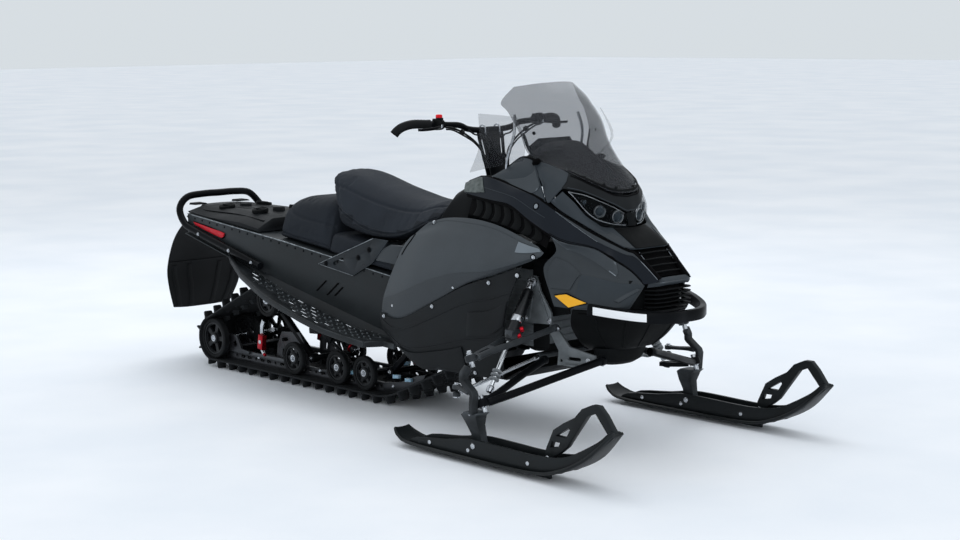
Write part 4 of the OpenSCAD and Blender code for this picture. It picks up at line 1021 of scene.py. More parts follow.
class SNOWMOBILE_OT_side_panels(Builder, bpy.types.Operator):
    """Grey side panels with a long crease, a chamfered lower band in painted shade and a painted highlight on
    the front tip
    """
    bl_idname = "snowmobile.side_panels"
    bl_label = "Side Panels"

    def build(self, finish):
        depth, gap = look().panel_depth / MM, look().gap_width / MM
        net = smooth_net(SIDE_NET, 7)
        rows, cols = len(net) - 1, len(net[0]) - 1
        shaped = []
        for i, row in enumerate(net):
            line = []
            for j, p in enumerate(row):
                u, v = i / rows, j / cols
                normal = net_at(net, u, v)[1]
                step = 2.0 * math.exp(-((v - 0.36 + 0.1 * u) / 0.07) ** 2) * min(1, (1 - u) * 3)
                start = 0.86 - 0.17 * min(1, u / 0.55)
                chamfer = 9 * max(0, (v - start) / (1 - start)) ** 1.2
                line.append(list(Vector(p) + normal * (step - chamfer * min(1, (1 - u) * 4))))
            shaped.append(line)
        side = Shape().wall(shaped, depth, 0)
        # the chamfered lower band is in the darker grey as painted shade
        facet(side, shaped, [[0.01, 0.86], [0.3, 0.77], [0.55, 0.69], [0.8, 0.7], [0.985, 0.75]],
              [[0.01, 0.985], [0.3, 0.985], [0.55, 0.985], [0.8, 0.985], [0.985, 0.985]], 0.4, 1, 30)
        # a patch of much paler grey on the front tip is a painted highlight
        facet(side, shaped, [[0.8, 0.17], [0.985, 0.2]], [[0.8, 0.36], [0.985, 0.4]], 0.5, 2)
        # a thin line of the darker grey near the top edge is painted shade
        seam(side, shaped, [[0.05, 0.13], [0.3, 0.12], [0.6, 0.12], [0.9, 0.16]], 2.4, 1, lift=0.1)
        # a near-black strip at the rear edge is painted shade in the gap
        seam(side, shaped, [[0.02, 0.3], [0.05, 0.42], [0.04, 0.56]], gap * 1.6, 3, lift=0.2)
        for u, v in ((0.12, 0.9), (0.5, 0.91), (0.1, 0.09), (0.93, 0.6)):
            point, normal = net_at(shaped, u, v)
            # near-black rings round the bolts are painted shade in their recesses
            side.spin([(-2, 11), (0.5, 11), (1.1, 9.8), (0, 9)], point, normal, 3, 22)
            side.bolt(Vector(point) - normal * 0.5, normal, look().bolt_size / MM * 0.9, 4)
        side.mirrored()
        piece("side_panel_shells", side, "chassis",
              "side side_dark side_pale gap zinc", ("side_panels",))


class SNOWMOBILE_OT_lower_panels(Builder, bpy.types.Operator):
    """Black lower panels with pressed ribs and screw bosses"""
    bl_idname = "snowmobile.lower_panels"
    bl_label = "Lower Panels"

    def build(self, finish):
        net = smooth_net(LOWER_NET, 7)
        side = Shape().wall(net, look().panel_depth / MM, 0)
        seam(side, net, [[0.04, 0.3], [0.35, 0.22], [0.7, 0.24], [0.96, 0.3]], 5.0, 0, lift=0.8, depth=3)
        seam(side, net, [[0.06, 0.62], [0.4, 0.58], [0.94, 0.6]], 4.0, 0, lift=0.8, depth=3)
        facet(side, net, [[0.52, 0.32], [0.9, 0.36]], [[0.5, 0.54], [0.88, 0.56]], 2.4, 0)
        facet(side, net, [[0.12, 0.66], [0.46, 0.64]], [[0.16, 0.9], [0.46, 0.9]], 2.4, 0)
        # short near-black slots laid on the panel are painted shade
        for k in range(6):
            u = 0.2 + 0.045 * k
            seam(side, net, [[u, 0.7], [u + 0.012, 0.86]], 5.0, 1, lift=2.3, depth=1.4)
        for u, v in ((0.05, 0.08), (0.33, 0.07), (0.66, 0.07), (0.95, 0.12), (0.5, 0.94), (0.86, 0.93)):
            point, normal = net_at(net, u, v)
            side.spin([(-2, 12), (1.4, 12), (2.0, 10.6), (0.6, 9.4)], point, normal, 0, 22)
            side.bolt(point, normal, look().bolt_size / MM * 0.9, 2)
        side.mirrored()
        piece("lower_panel_shells", side, "chassis", "low_grey gap zinc",
              ("lower_panels",))


LOUVRE_TOP = [[520, 205, 848], [655, 222, 836], [752, 230, 826], [850, 232, 780], [940, 232, 740]]
LOUVRE_LOW = [[520, 225, 784], [655, 240, 767], [760, 246, 751], [860, 252, 725], [950, 262, 701]]


def louvre(x, v, out):
    """A point of the vent's face at x, v of the way down, pushed out."""
    ends = []
    for line in (LOUVRE_TOP, LOUVRE_LOW):
        for a, b in zip(line, line[1:]):
            if x <= b[0] or b is line[-1]:
                ends.append(lerp(a, b, (x - a[0]) / (b[0] - a[0])))
                break
    p = lerp(ends[0], ends[1], v)
    return [x, p[1] + out, p[2]]


class SNOWMOBILE_OT_louvres(Builder, bpy.types.Operator):
    """Black vents between the band and the side panel, each with seven rounded chevron fins"""
    bl_idname = "snowmobile.louvres"
    bl_label = "Louvres"

    def build(self, finish):
        side = Shape()
        # the vent's face behind the fins is near-black painted shade
        side.wall(smooth_net([[a, b] for a, b in zip(LOUVRE_TOP, LOUVRE_LOW)], 3), 4, 1)
        for k in range(7):
            x = 544 + 53 * k
            rows = []
            for w in range(7):
                share = w / 6
                bulge = 2.2 * math.sin(math.pi * share)
                line = [[x + 36 * share + c, v, out + bulge] for c, v, out in
                        ((0, 0.05, 1), (12, 0.3, 3), (17, 0.52, 3.6), (11, 0.76, 3), (0, 0.95, 1))]
                rows.append([louvre(*p) for p in smooth(line, 3)])
            side.wall(rows, 3.5, 0)
        side.mirrored()
        piece("louvre_fins", side, "chassis", "low gap", ("louvre_panels",), bevel=0.8)


class SNOWMOBILE_OT_belly(Builder, bpy.types.Operator):
    """Belly pan with its skid, floor and the liners beside the front frame"""
    bl_idname = "snowmobile.belly"
    bl_label = "Belly Pan"

    def build(self, finish):
        net = smooth_net(both_halves(BELLY_NET), 5)
        pan = Shape().wall(net, look().panel_depth / MM, 0)
        for v in (0.12, 0.26, 0.4, 0.6, 0.74, 0.88):
            seam(pan, net, [[0.14, v], [0.4, v * 0.96 + 0.02], [0.66, v * 0.9 + 0.05]], 6.0, 0, lift=0.8,
                 depth=3)
        # a near-black line along the front edge is painted shade in the gap
        seam(pan, net, [[0.07, 0.04], [0.06, 0.3], [0.06, 0.5], [0.06, 0.7], [0.07, 0.96]], 5.0, 1, lift=0.2,
             steps=8)
        pan.loft([[[x + a * math.cos(t / 24 * math.tau), b * math.sin(t / 24 * math.tau), z]
                   for t in range(24)]
                  for x, a, b, z in ((1044, 12, 30, 286), (1044, 34, 66, 287), (1046, 52, 94, 300),
                                     (1046, 64, 110, 326), (1046, 70, 116, 350))], 0)
        pan.side_plate([[440, 216], [440, 221], [738, 221], [812, 262], [816, 258], [741, 216]], 0, 508, 0)
        for y in (-183, 183):
            pan.side_plate([[806, 330], [806, 640], [880, 650], [985, 600], [985, 470], [884, 448],
                            [884, 338]], y, 3, 0,
                           [circle(832, 572, 15, 28), slot_hole(925, 560, 50, 16, 20)])
        for y in (-80, 80):
            pan.bolt([1040, y, 286], (0, 0, -1), 9, 2)
        piece("belly_shell", pan, "chassis", "low gap zinc", ("belly_pan",))


class SNOWMOBILE_OT_screen(Builder, bpy.types.Operator):
    """Tall smoked windshield with its lower trim and the side deflectors"""
    bl_idname = "snowmobile.screen"
    bl_label = "Windshield"

    def build(self, finish):
        net = smooth_net(both_halves(SCREEN_NET), 5)
        pane_shape = Shape().wall(net, 4, 0)
        piece("windshield_pane", pane_shape, "chassis", "smoke", ("windshield",), bevel=0.7)
        wings = Shape().wall(smooth_net([[[660, 304, 1147], [706, 262, 1143], [760, 215, 1135]],
                                         [[696, 335, 1041], [746, 278, 1047], [800, 215, 1050]],
                                         [[610, 300, 945], [684, 246, 966], [760, 184, 985]]], 5), 4,
                             0).mirrored()
        piece("deflector_wings", wings, "chassis", "smoke_thin", ("side_deflectors",),
              bevel=0.7)
        trim = Shape()
        seam(trim, net, [[0.985, 0.01], [0.985, 0.2], [0.985, 0.35], [0.985, 0.5], [0.985, 0.65],
                         [0.985, 0.8], [0.985, 0.99]],
             9, 0, lift=1.4, depth=2.2, steps=6)
        half = Shape()
        seam(half, net, [[0.93, 0.985], [0.8, 0.985], [0.6, 0.985]], 12, 0, lift=-5.5, depth=3, steps=6)
        for u, v in ((0.97, 0.62), (0.97, 0.74), (0.97, 0.88), (0.62, 0.93)):
            point, normal = net_at(net, u, v)
            half.spin([(0.6, 6.2), (2.2, 6.2), (3.4, 4.6), (3.6, 1.5)], point, normal, 0, 18)
        trim.join(half).join(half.across())
        piece("windshield_trim", trim, "chassis", "low", bevel=0.5)


def rounded_ring(x, z0, z1, w0, w1, power=4, sides=48):
    """A ring across X, rounded like a cushion, with its own width low and high."""
    ring = []
    for k in range(sides):
        a = math.tau * k / sides
        c = math.copysign(abs(math.cos(a)) ** (2 / power), math.cos(a))
        s = math.copysign(abs(math.sin(a)) ** (2 / power), math.sin(a))
        t = (s + 1) / 2
        ring.append([x, c * (w0 + (w1 - w0) * t), z0 + (z1 - z0) * t])
    return ring


def lean_ring(x0, x1, z0, z1, w0, w1, sides=64):
    """A rounded ring that leans along X, with squarer corners low than high."""
    high, low = (rounded_ring(x0, z0, z1, w0, w1, power, sides) for power in (4, 8))
    ring = high[:sides // 2 + 1] + low[sides // 2 + 1:]
    return [[x0 + (x1 - x0) * (p[2] - z0) / (z1 - z0), p[1], p[2]] for p in ring]


class SNOWMOBILE_OT_dash(Builder, bpy.types.Operator):
    """Dash body behind the screen, with the instrument pod and its bright support strut"""
    bl_idname = "snowmobile.dash"
    bl_label = "Dash"

    def build(self, finish):
        dash = Shape()
        knots = [(500, 880, 908, 148, 130), (560, 885, 930, 140, 110), (640, 885, 975, 130, 100),
                 (740, 885, 1035, 132, 96), (800, 885, 1040, 128, 90), (900, 870, 975, 112, 80)]
        dash.loft([rounded_ring(*k, power=5, sides=40) for k in smooth(knots, 4)], 0)
        face = [[690, -88, 1002], [690, 88, 1002], [742, 84, 1036], [742, -84, 1036]]
        dash.loft([[lerp(p, [716, 0, 1019], 0.02) for p in face],
                   [[p[0] - 14, p[1] * 0.94, p[2] + 20] for p in face]], 1)
        for y in (-60, 60):
            dash.spin([(0, 9), (3, 9), (5, 7), (5.4, 2)], [600, y, 958], (-0.6, 0, 1), 1, 20)
        for side in (-1, 1):
            dash.tube(smooth([[640, side * 150, 905], [672, side * 178, 980], [700, side * 172, 1070],
                              [690, side * 158, 1140]], 5),
                      11, 2, sides=12, up=(0, 1, 0))
            dash.tube(smooth([[560, side * 120, 915], [640, side * 160, 900], [760, side * 150, 930]], 4), 16,
                      0, sides=10)
        piece("dash_body", dash, "chassis", "low gap zinc", ("dash",), subdivide=0)


class SNOWMOBILE_OT_front_bumper(Builder, bpy.types.Operator):
    """Front bumper bar with a white strip each side, and the amber reflectors"""
    bl_idname = "snowmobile.front_bumper"
    bl_label = "Front Bumper and Reflectors"

    def build(self, finish):
        half = [[1128, 243, 508], [1210, 206, 498], [1292, 150, 488], [1342, 76, 484], [1344, 0, 482]]
        line = smooth(half + [[p[0], -p[1], p[2]] for p in half[-2::-1]], 8)
        bar = Shape().tube(line, 24, 0, flat=1.62, square=True)
        for side in (1, -1):
            film = [[p[0], p[1] * side, p[2]] for p in smooth(half, 10)[3:22]]
            rings = []
            for i, p in enumerate(film):
                way = Vector(film[min(i + 1, len(film) - 1)]) - Vector(film[max(i - 1, 0)])
                out = way.cross(Vector((0, 0, -side))).normalized()
                rings.append([list(Vector(p) + out * (11.6 + far) + Vector((0, 0, up))) for far, up in
                              ((0, 13.4), (1.1, 13.4), (1.1, -13.4), (0, -13.4))])
            bar.loft(rings, 1)
        piece("bumper_bar", bar, "chassis", "tube film", ("front_bumper",))
        amber = Shape().wall(smooth_net([[[986, 260, 541], [1016, 258, 524], [1046, 255, 507]],
                                         [[1007, 254, 546], [1040, 249, 531], [1074, 241.5, 516]],
                                         [[1028, 247, 549], [1065, 238, 537], [1102, 226, 525]]], 4), 3,
                             0).mirrored()
        piece("amber_reflectors", amber, "chassis", "amber", ("side_reflectors",))
        backing = Shape().wall([[[980, 259, 545], [1046, 254, 502]],
                                [[1028, 244.5, 554], [1108, 222.5, 524]]], 3, 0).mirrored()
        piece("reflector_frames", backing, "chassis", "low")


KING_LOW, KING_HIGH = Vector((924, 538.5, 204)), Vector((868, 538.5, 347))
KING = (KING_HIGH - KING_LOW).normalized()


class SNOWMOBILE_OT_front_frame(Builder, bpy.types.Operator):
    """Cast tower and foot, forged upper and lower arms, and the front dampers"""
    bl_idname = "snowmobile.front_frame"
    bl_label = "Front Frame and Arms"

    def build(self, finish):
        frame_part = Shape()
        tower = [[810, 572], [818, 588], [838, 590], [848, 574], [862, 540], [914, 468], [916, 428],
                 [776, 420], [790, 470], [806, 530]]
        frame_part.side_plate(tower, 200, 8, 0, [circle(832, 572, 7)])
        frame_part.side_plate([[806, 440], [820, 520], [826, 520], [814, 440]], 206, 5, 0)
        frame_part.side_plate([[896, 440], [852, 535], [858, 538], [904, 446]], 206, 5, 0)
        foot = [[888, 405], [922, 405], [958, 350], [1044, 324], [1044, 290], [918, 283], [922, 335]]
        frame_part.plate(foot, 9, lambda a, b, c: [a, 188 - (a - 888) * 0.44 + c, b], 0,
                         [slot_hole(975, 308, 46, 12, -3), circle(930, 300, 6), circle(1026, 306, 6)])
        frame_part.box([930, 150, 283], [1040, 168, 290], 0)
        for at in ([832, 204, 572], [905, 204, 440], [790, 204, 436]):
            frame_part.bolt(at, (0, 1, 0), 15, 1)
        frame_part.spin([(0, 15), (2, 16), (9, 16), (10, 13)], [832, 206, 572], (0, 1, 0), 1, 26)
        frame_part.bolt([1024, 136, 306], (0.4, 0.9, 0), 13, 1)
        frame_part.mirrored()
        frame_part.rod([832, -198, 572], [832, 198, 572], 22, 2)
        piece("front_tower", frame_part, "chassis", "cast zinc tube", ("front_frame",))

        upper = Shape()
        top = list(KING_HIGH)
        upper.tube(smooth([[934, 206, 418], [915, 330, 392], [886, 470, 362], [878, 516, 347]], 4),
                   [24, 23, 22, 22, 22, 22, 22, 22, 22, 22, 22, 22, 24], 0)
        upper.tube(smooth([[765, 206, 392], [800, 340, 374], [846, 470, 356], [860, 516, 347]], 4), 17, 0)
        upper.plate([[880, 430], [842, 430], [838, 450], [846, 520], [888, 520], [890, 450]], 9,
                    lambda a, b, c: [a, b, 369 - (b - 440) * 0.24 + c], 0, [slot_hole(864, 472, 44, 14, 90)])
        upper.spin([(-12, 16), (-11, 19), (-5, 20), (5, 20), (11, 19), (12, 16)], top, KING, 0, 30)
        upper.spin([(11, 13), (14, 13), (16, 10)], top, KING, 1, 24)
        upper.rod([934, 196, 419], [934, 214, 418], 26, 0).bolt([950, 204, 418], (1, 0, 0), 12, 1)
        upper.rod([765, 198, 392], [765, 212, 392], 22, 0)
        upper.mirrored()
        piece("upper_arm_pair", upper, "chassis", "forged zinc", ("upper_arms",))

        lower = Shape()
        lower.tube(smooth([[1080, 128, 312], [1030, 262, 275], [966, 440, 226], [932, 520, 204]], 4), 27, 0)
        lower.tube(smooth([[880, 204, 300], [890, 310, 268], [906, 440, 226], [914, 518, 204]], 4), 25, 0)
        lower.plate([[846, 430], [836, 452], [848, 470], [904, 520], [930, 500], [912, 470], [880, 440]], 15,
                    lambda a, b, c: [a, b, 197 + c], 0, [circle(880, 478, 8)])
        lower.spin([(-14, 18), (-13, 21), (-6, 22), (6, 22), (13, 21), (14, 18)], KING_LOW, KING, 0, 30)
        lower.spin([(-17, 11), (-14, 13), (-13, 13)], KING_LOW, KING, 1, 24)
        lower.rod([1080, 116, 312], [1080, 134, 311], 32, 0).bolt([1080, 134, 312], (0, 1, 0), 14, 1)
        lower.rod([880, 196, 301], [880, 214, 299], 30, 0)
        lower.spin([(0, 17), (3, 18), (10, 18), (13, 15)], [858, 450, 188], (-0.06, 0.5, 0.85), 0, 24)
        lower.mirrored()
        piece("lower_arm_pair", lower, "chassis", "tube zinc", ("lower_arms",))

        damper = Shape()
        head, heel = Vector((827, 212, 566)), Vector((858, 450, 212))
        way, long = (heel - head).normalized(), (heel - head).length
        damper.spin([(-7, 13), (-6, 18), (6, 18), (7, 13)], head, (0, 1, 0), 1, 28)
        damper.spin([(2, 11), (0.07 * long, 13)], head, way, 1, 24)
        damper.spin([(0.06 * long, 12), (0.08 * long, 20), (0.1 * long, 21), (0.3 * long, 21),
                     (0.31 * long, 18)], head, way, 0, 32)
        damper.spin([(0.305 * long, 19), (0.31 * long, 21.6), (0.355 * long, 21.6), (0.36 * long, 19)], head,
                    way, 1, 32)
        damper.spin([(0.36 * long, 19), (0.37 * long, 20.4), (0.52 * long, 20.4), (0.53 * long, 12)], head,
                    way, 0, 32)
        damper.box([head.x + 4, head.y + 96, head.z - 178], [head.x + 40, head.y + 134, head.z - 148], 0)
        for share in (0.44, 0.5):
            damper.spin([(0, 8), (3, 10.5), (13, 10.5), (15, 8)],
                        head + way * share * long + Vector((16, -16, 4)), (0.6, -0.7, 0.2), 4, 20)
        damper.spin([(0.52 * long, 8), (0.95 * long, 8), (0.96 * long, 7)], head, way, 2, 24)
        for share in (0.8, 0.835, 0.87):
            damper.spin([(share * long - 4.6, 15), (share * long - 3, 17.6), (share * long + 3, 17.6),
                         (share * long + 4.6, 15)],
                        head, way, 3, 28)
        damper.spin([(0.93 * long, 10), (0.94 * long, 13), (0.985 * long, 13), (0.99 * long, 9)], head, way,
                    1, 24)
        damper.mirrored()
        piece("front_dampers", damper, "chassis",
              "shock zinc chrome bump red_metal", ("front_shocks",), bevel=0.4)


class SNOWMOBILE_OT_steering(Builder, bpy.types.Operator):
    """Steering link with its rod ends, and the two forged spindles"""
    bl_idname = "snowmobile.steering"
    bl_label = "Tie Rods and Spindles"

    def build(self, finish):
        link_part = Shape()
        arm = Vector((795, 538.5, 244))
        a, b = Vector((845, 196, 307)), arm + Vector((0, -6, -26))
        way = (b - a).normalized()
        long = (b - a).length
        link_part.spin([(0, 6), (2, 8), (22, 8), (24, 6.4), (long - 40, 6.4), (long - 38, 8), (long - 14, 8),
                        (long - 12, 6), (long, 6)],
                       a, way, 0, 22)
        link_part.spin([(long - 46, 8.6), (long - 38, 8.6)], a, way, 0, 6)
        link_part.spin([(0, 9), (2, 13), (7, 14), (14, 13), (18, 9), (20, 5)], arm + Vector((0, 0, -38)),
                       (0, 0, 1), 1, 26)
        link_part.spin([(-5, 8), (-4, 12), (0, 12.6), (1, 10)], arm + Vector((0, 0, -36)), (0, 0, 1), 0, 22)
        link_part.mirrored()
        link_part.tube([[845, -200, 307], [845, 0, 307], [845, 200, 307]], 20, 1, flat=0.8, square=True)
        piece("tie_rod_set", link_part, "steering_link", "zinc forged", ("tie_rods",),
              bevel=0.3)
        for side, name in ((1, "left"), (-1, "right")):
            leg = Shape()
            high, low = KING_HIGH, KING_LOW
            leg.spin([(-34, 7), (-32, 9), (24, 9), (26, 8)], low, KING, 1, 24)
            leg.spin([(-30, 9), (20, 9), (22, 8)], high, KING, 1, 24)
            strut = [high + Vector(p) for p in ((2, 14, -30), (-2, 31, -50), (-2, 32, -70))]
            strut += [low + Vector(p) for p in ((-4, 34, 34), (-10, 34, -34))]
            bends = [list(strut[0])] + [lerp(a, b, t) for a,
                                        b in zip(strut, strut[1:]) for t in (0.08, 0.5,
                                                                             0.92)] + [list(strut[-1])]
            leg.tube(bends, 30, 0, flat=0.66, up=(1, 0, 0.2), square=True)
            leg.loft([[[x, y, z] for x, y in ((a, c), (b, c), (b, d), (a, d))] for a, b, c, d, z in
                      ((872, 938, 520, 577, 172), (852, 926, 521, 572, 160), (862, 920, 523, 558, 128),
                       (880, 928, 524, 552, 96),
                       (892, 936, 524, 550, 52))], 0)
            arm_line = smooth([[795, 538.5, 241], [830, 548, 241], [868, 562, 242], [900, 570, 240]], 4)
            leg.tube(arm_line, [27, 26, 25, 24, 24, 24, 25, 26, 27, 28, 29, 30, 30], 0, flat=0.5, square=True)
            leg.spin([(-11, 12), (-10, 14), (4, 14), (5, 11)], [795, 538.5, 244], (0, 0, 1), 0, 24)
            leg.bolt([795, 538.5, 248], (0, 0, 1), 16, 1)
            leg.bolt(high + KING * 20, KING, 16, 1)
            leg.bolt(Vector((920, 554, 62)), (0, 1, 0), 14, 1)
            for at in ((904, 571, 200), (896, 571, 168)):
                leg.spin([(-1, 7), (2, 7), (3, 5)], at, (0, 1, 0), 1, 18)
            leg = leg if side > 0 else leg.across()
            piece(f"spindle_{name}_forging", leg, f"spindle_{name}", "forged zinc",
                  (f"spindle_{name}",), bevel=1.4)


SKI_LINE = [[500, 50], [535, 26], [612, 12], [900, 10], [1200, 13], [1327, 38], [1443, 97], [1541, 187]]
SKI_HALF = [33, 49, 58, 61, 61, 59, 50, 25]


class SNOWMOBILE_OT_skis(Builder, bpy.types.Operator):
    """Moulded skis with raised rims, a keel, steel runners and flat trussed loops"""
    bl_idname = "snowmobile.skis"
    bl_label = "Skis"

    def build(self, finish):
        middle = 538.5
        for side, name in ((1, "left"), (-1, "right")):
            ski = Shape()
            rows = []
            for (x, z), w in zip(SKI_LINE, SKI_HALF):
                rim = 7 if 510 < x < 1500 else 2
                rows.append([[x, middle + w, z + rim + 4], [x, middle + w - 8, z + 5],
                             [x, middle + w * 0.45, z + 3.4],
                             [x, middle, z + 3], [x, middle - w * 0.45, z + 3.4], [x, middle - w + 8, z + 5],
                             [x, middle - w, z + rim + 4]])
            ski.wall(smooth_net(rows, 5), 9, 0)
            crest = smooth([[575, 18], [625, 46], [780, 64], [870, 80], [970, 84], [1210, 80], [1330, 92],
                            [1400, 120], [1478, 164],
                            [1518, 198], [1536, 200]], 3)
            for out in (-1, 1):
                rail = []
                for x, z in crest:
                    share = next(k for k in range(1, 8) if x <= SKI_LINE[k][0] or k == 7)
                    t = (x - SKI_LINE[share - 1][0]) / (SKI_LINE[share][0] - SKI_LINE[share - 1][0])
                    foot = SKI_LINE[share - 1][1] + (SKI_LINE[share][1] - SKI_LINE[share - 1][1]) * t
                    y = middle + out * 0.68 * (SKI_HALF[share - 1] + (SKI_HALF[share] - SKI_HALF[share - 1])
                                               * t)
                    rail.append([[x, y, max(z, foot + 3)], [x, y, foot + 1]])
                ski.wall(rail, 10 * out, 0)
                y = middle + 42 * out
                for x, z in ((700, 40), (895, 44), (1180, 48)):
                    ski.spin([(-2, 8), (1, 8), (2.4, 5)], [x, y, z], (0, out, 0), 2, 18)
                ski.spin([(-2, 11), (2, 11), (3, 9)], [920, y, 62], (0, out, 0), 2, 6)
            for x in (640, 720, 800, 1060, 1130, 1200, 1270):
                ski.box([x, middle - 40, 14 + max(0, x - 1200) * 0.14],
                        [x + 7, middle + 40, 36 + max(0, x - 1200) * 0.14], 0)
            ski.rod([920, middle - 46, 62], [920, middle + 46, 62], 12, 2)
            ski.box([574, middle - 5, 2], [1246, middle + 5, 14], 0)
            runner = smooth([[620, middle, 10], [660, middle, 3.4], [900, middle, 3.2], [1150, middle, 3.4],
                             [1230, middle, 14]], 3)
            ski.tube(runner, 6.4, 2, sides=10)
            # the loop: a flat truss with triangular windows
            outer = [[1222, 62], [1232, 100], [1266, 168], [1310, 196], [1361, 222], [1392, 254], [1438, 274],
                     [1466, 274], [1494, 248],
                     [1532, 200], [1538, 186], [1500, 160], [1487, 160], [1506, 187], [1451, 248],
                     [1416, 234], [1372, 178], [1327, 120],
                     [1296, 96], [1267, 80], [1258, 56]]
            ski.side_plate(outer, middle, 20, 0, [[[1276, 150], [1334, 184], [1340, 178], [1323, 150]],
                                                  [[1252, 108], [1260, 130], [1296, 130], [1290, 116]]])
            for at in ((1515, 188), (1240, 72)):
                for out in (-1, 1):
                    ski.spin([(9, 8), (12, 8), (13.4, 5.5)], [at[0], middle, at[1]], (0, out, 0), 2, 20)
            ski = ski if side > 0 else ski.across()
            piece(f"ski_{name}_moulding", ski, f"ski_{name}", "ski ski zinc",
                  (f"ski_{name}",), bevel=1.2)


class SNOWMOBILE_OT_handlebar(Builder, bpy.types.Operator):
    """Bent bar on a slotted riser with two clamp bolts each side, grips, switch pods, levers and cables"""
    bl_idname = "snowmobile.handlebar"
    bl_label = "Handlebar"

    def build(self, finish):
        half = [[350, 384, 1094], [364, 348, 1104], [380, 280, 1101], [390, 208, 1097], [392, 150, 1093],
                [392, 112, 1079],
                [392, 60, 1072], [392, 0, 1072]]
        line = smooth(half + [[p[0], -p[1], p[2]] for p in half[-2::-1]], 6)
        low, top = Vector((430, 0, 898)), Vector((392, 0, 1070))
        post = (top - low).normalized()
        fore = post.cross(Vector((0, 1, 0)))
        bar = Shape().tube(line, 22.2, 0, sides=24, up=(1, 0, 0.2))

        def riser(a, b, c):
            return list(low + Vector((0, a, 0)) + post * b + fore * c)

        outline = [[-38, 2], [-42, 50], [-46, 72], [-54, 146], [-54, 170], [54, 170], [54, 146], [46, 72],
                   [42, 50], [38, 2]]
        for back in (-11, 11):
            bar.plate(outline, 6, lambda a, b, c: riser(a, b, c + back), 0,
                      [slot_hole(-30, 116, 62, 17, 96), slot_hole(30, 116, 62, 17, 84)])
        bar.plate([[-14, 6], [-14, 150], [14, 150], [14, 6]], 20, riser, 0)
        for y in (-36, 36):
            bolt_line = [[377, y, 1050], [377, y, 1074]] + [[392 - 15 * math.cos(a), y,
                                                             1076 + 14 * math.sin(a)]
                                                          for a in [math.pi * k / 10
                                                                    for k in range(11)]] + [[407, y, 1074],
                                                                                            [407, y, 1050]]
            bar.tube(bolt_line, 6.5, 1, sides=12, up=(0, 1, 0))
            bar.box([374, y - 9, 1046], [410, y + 9, 1062], 0)
        bar.rod(low - post * 90, low + post * 6, 28, 2)
        bar.spin([(0, 22), (4, 24), (10, 24), (13, 20)], low - post * 14, post, 2, 28)
        piece("handlebar_tube", bar, "handlebar", "tube zinc forged", ("handlebar",))

        grips = Shape()
        path = smooth([[333, 407, 1071], [340, 399, 1083], [353, 382, 1096], [366, 345, 1104],
                       [379, 282, 1101]], 12)
        sizes = [33 if k < 2 else 34.5 if k > len(path) - 4 else 31.5 + 1.6 * (k % 2)
                 for k in range(len(path))]
        grips.tube(path, sizes, 0, sides=24, up=(1, 0, 0.2))
        grips.spin([(-3, 12), (0, 16.4), (3, 16.4)], path[0], Vector(path[0]) - Vector(path[2]), 0, 24)
        grips.mirrored()
        piece("grip_pair", grips, "handlebar", "grip", ("hand_grips",), bevel=0)

        pods = Shape()
        pods.loft([[[389 + r * math.cos(a), 234 + y, 1100 + r * 0.76 * math.sin(a)]
                    for a in [math.tau * j / 28 for j in range(28)]]
                   for y, r in ((0, 22), (3, 26), (16, 27), (18, 24), (21, 27), (30, 26), (33, 22))], 0)
        for x, z in ((372, 1113), (392, 1116)):
            pods.box([x, 238, z], [x + 12, 262, z + 8], 1)
        pods.bolt([384, 235, 1092], (0, -1, 0), 6, 2)
        lever = smooth([[408, 254, 1094], [424, 284, 1090], [428, 326, 1087], [427, 362, 1086],
                        [424, 374, 1087]], 5)
        pods.tube(lever, [13 - 5 * k / len(lever) if k < len(lever) - 3 else 10 for k in range(len(lever))],
                  1, flat=0.7, up=(1, 0, 0))
        pods.spin([(-6, 7), (6, 7), (7, 5)], [410, 254, 1094], (0, 0, 1), 2, 18)
        pods.mirrored()
        pods.spin([(0, 9), (2, 12), (12, 12), (15, 10.5), (16, 6)], [390, -246, 1120], (0, 0, 1), 3, 26)
        piece("switch_pods", pods, "handlebar",
              "low tube zinc red_plastic", ("control_pods",), bevel=1.2)

        cables = Shape()
        for side in (1, -1):
            for k, shift in enumerate(((0, 0, 0), (5, 2, -7))):
                run = [[412, 234, 1090], [416, 205, 1086], [418, 161, 1070 - 3 * k], [420, 104, 1036],
                       [422, 64, 994], [432, 50, 944]]
                run = [[p[0] + shift[0], side * (p[1] + shift[1]), p[2] + shift[2]] for p in run]
                cables.tube(smooth(run, 8), 6.2 if k else 7.6, 0, sides=12, up=(1, 0, 0.1))
            inner = [[404, 118, 1076], [408, 89, 1058], [414, 52, 1050], [420, 36, 1021], [424, 42, 990],
                     [430, 56, 956]]
            cables.tube(smooth([[p[0], side * p[1], p[2]] for p in inner], 8), 6.2, 0, sides=12,
                        up=(1, 0, 0.1))
            cables.spin([(-6, 9), (-5, 10), (5, 10), (6, 9)], [418, side * 161, 1069], (0, side, 0.5), 0, 20)
        piece("cable_runs", cables, "handlebar", "cable", ("control_cables",), bevel=0)


# ---------- seats ----------
def groove(mesh, line, width, depth):
    """Presses a soft channel into a mesh along a line in millimetres."""
    points = [Vector(p) * MM for p in smooth(line, 12)]
    tree = KDTree(len(points))
    for k, p in enumerate(points):
        tree.insert(p, k)
    tree.balance()
    places = [(v.co.copy(), v.normal.copy()) for v in mesh.vertices]
    for place, normal in places:
        gap = tree.find(place)[2] / (width * MM)
        if gap < 3:
            place -= normal * depth * MM * math.exp(-gap * gap)
    mesh.vertices.foreach_set("co", [c for place, _ in places for c in place])


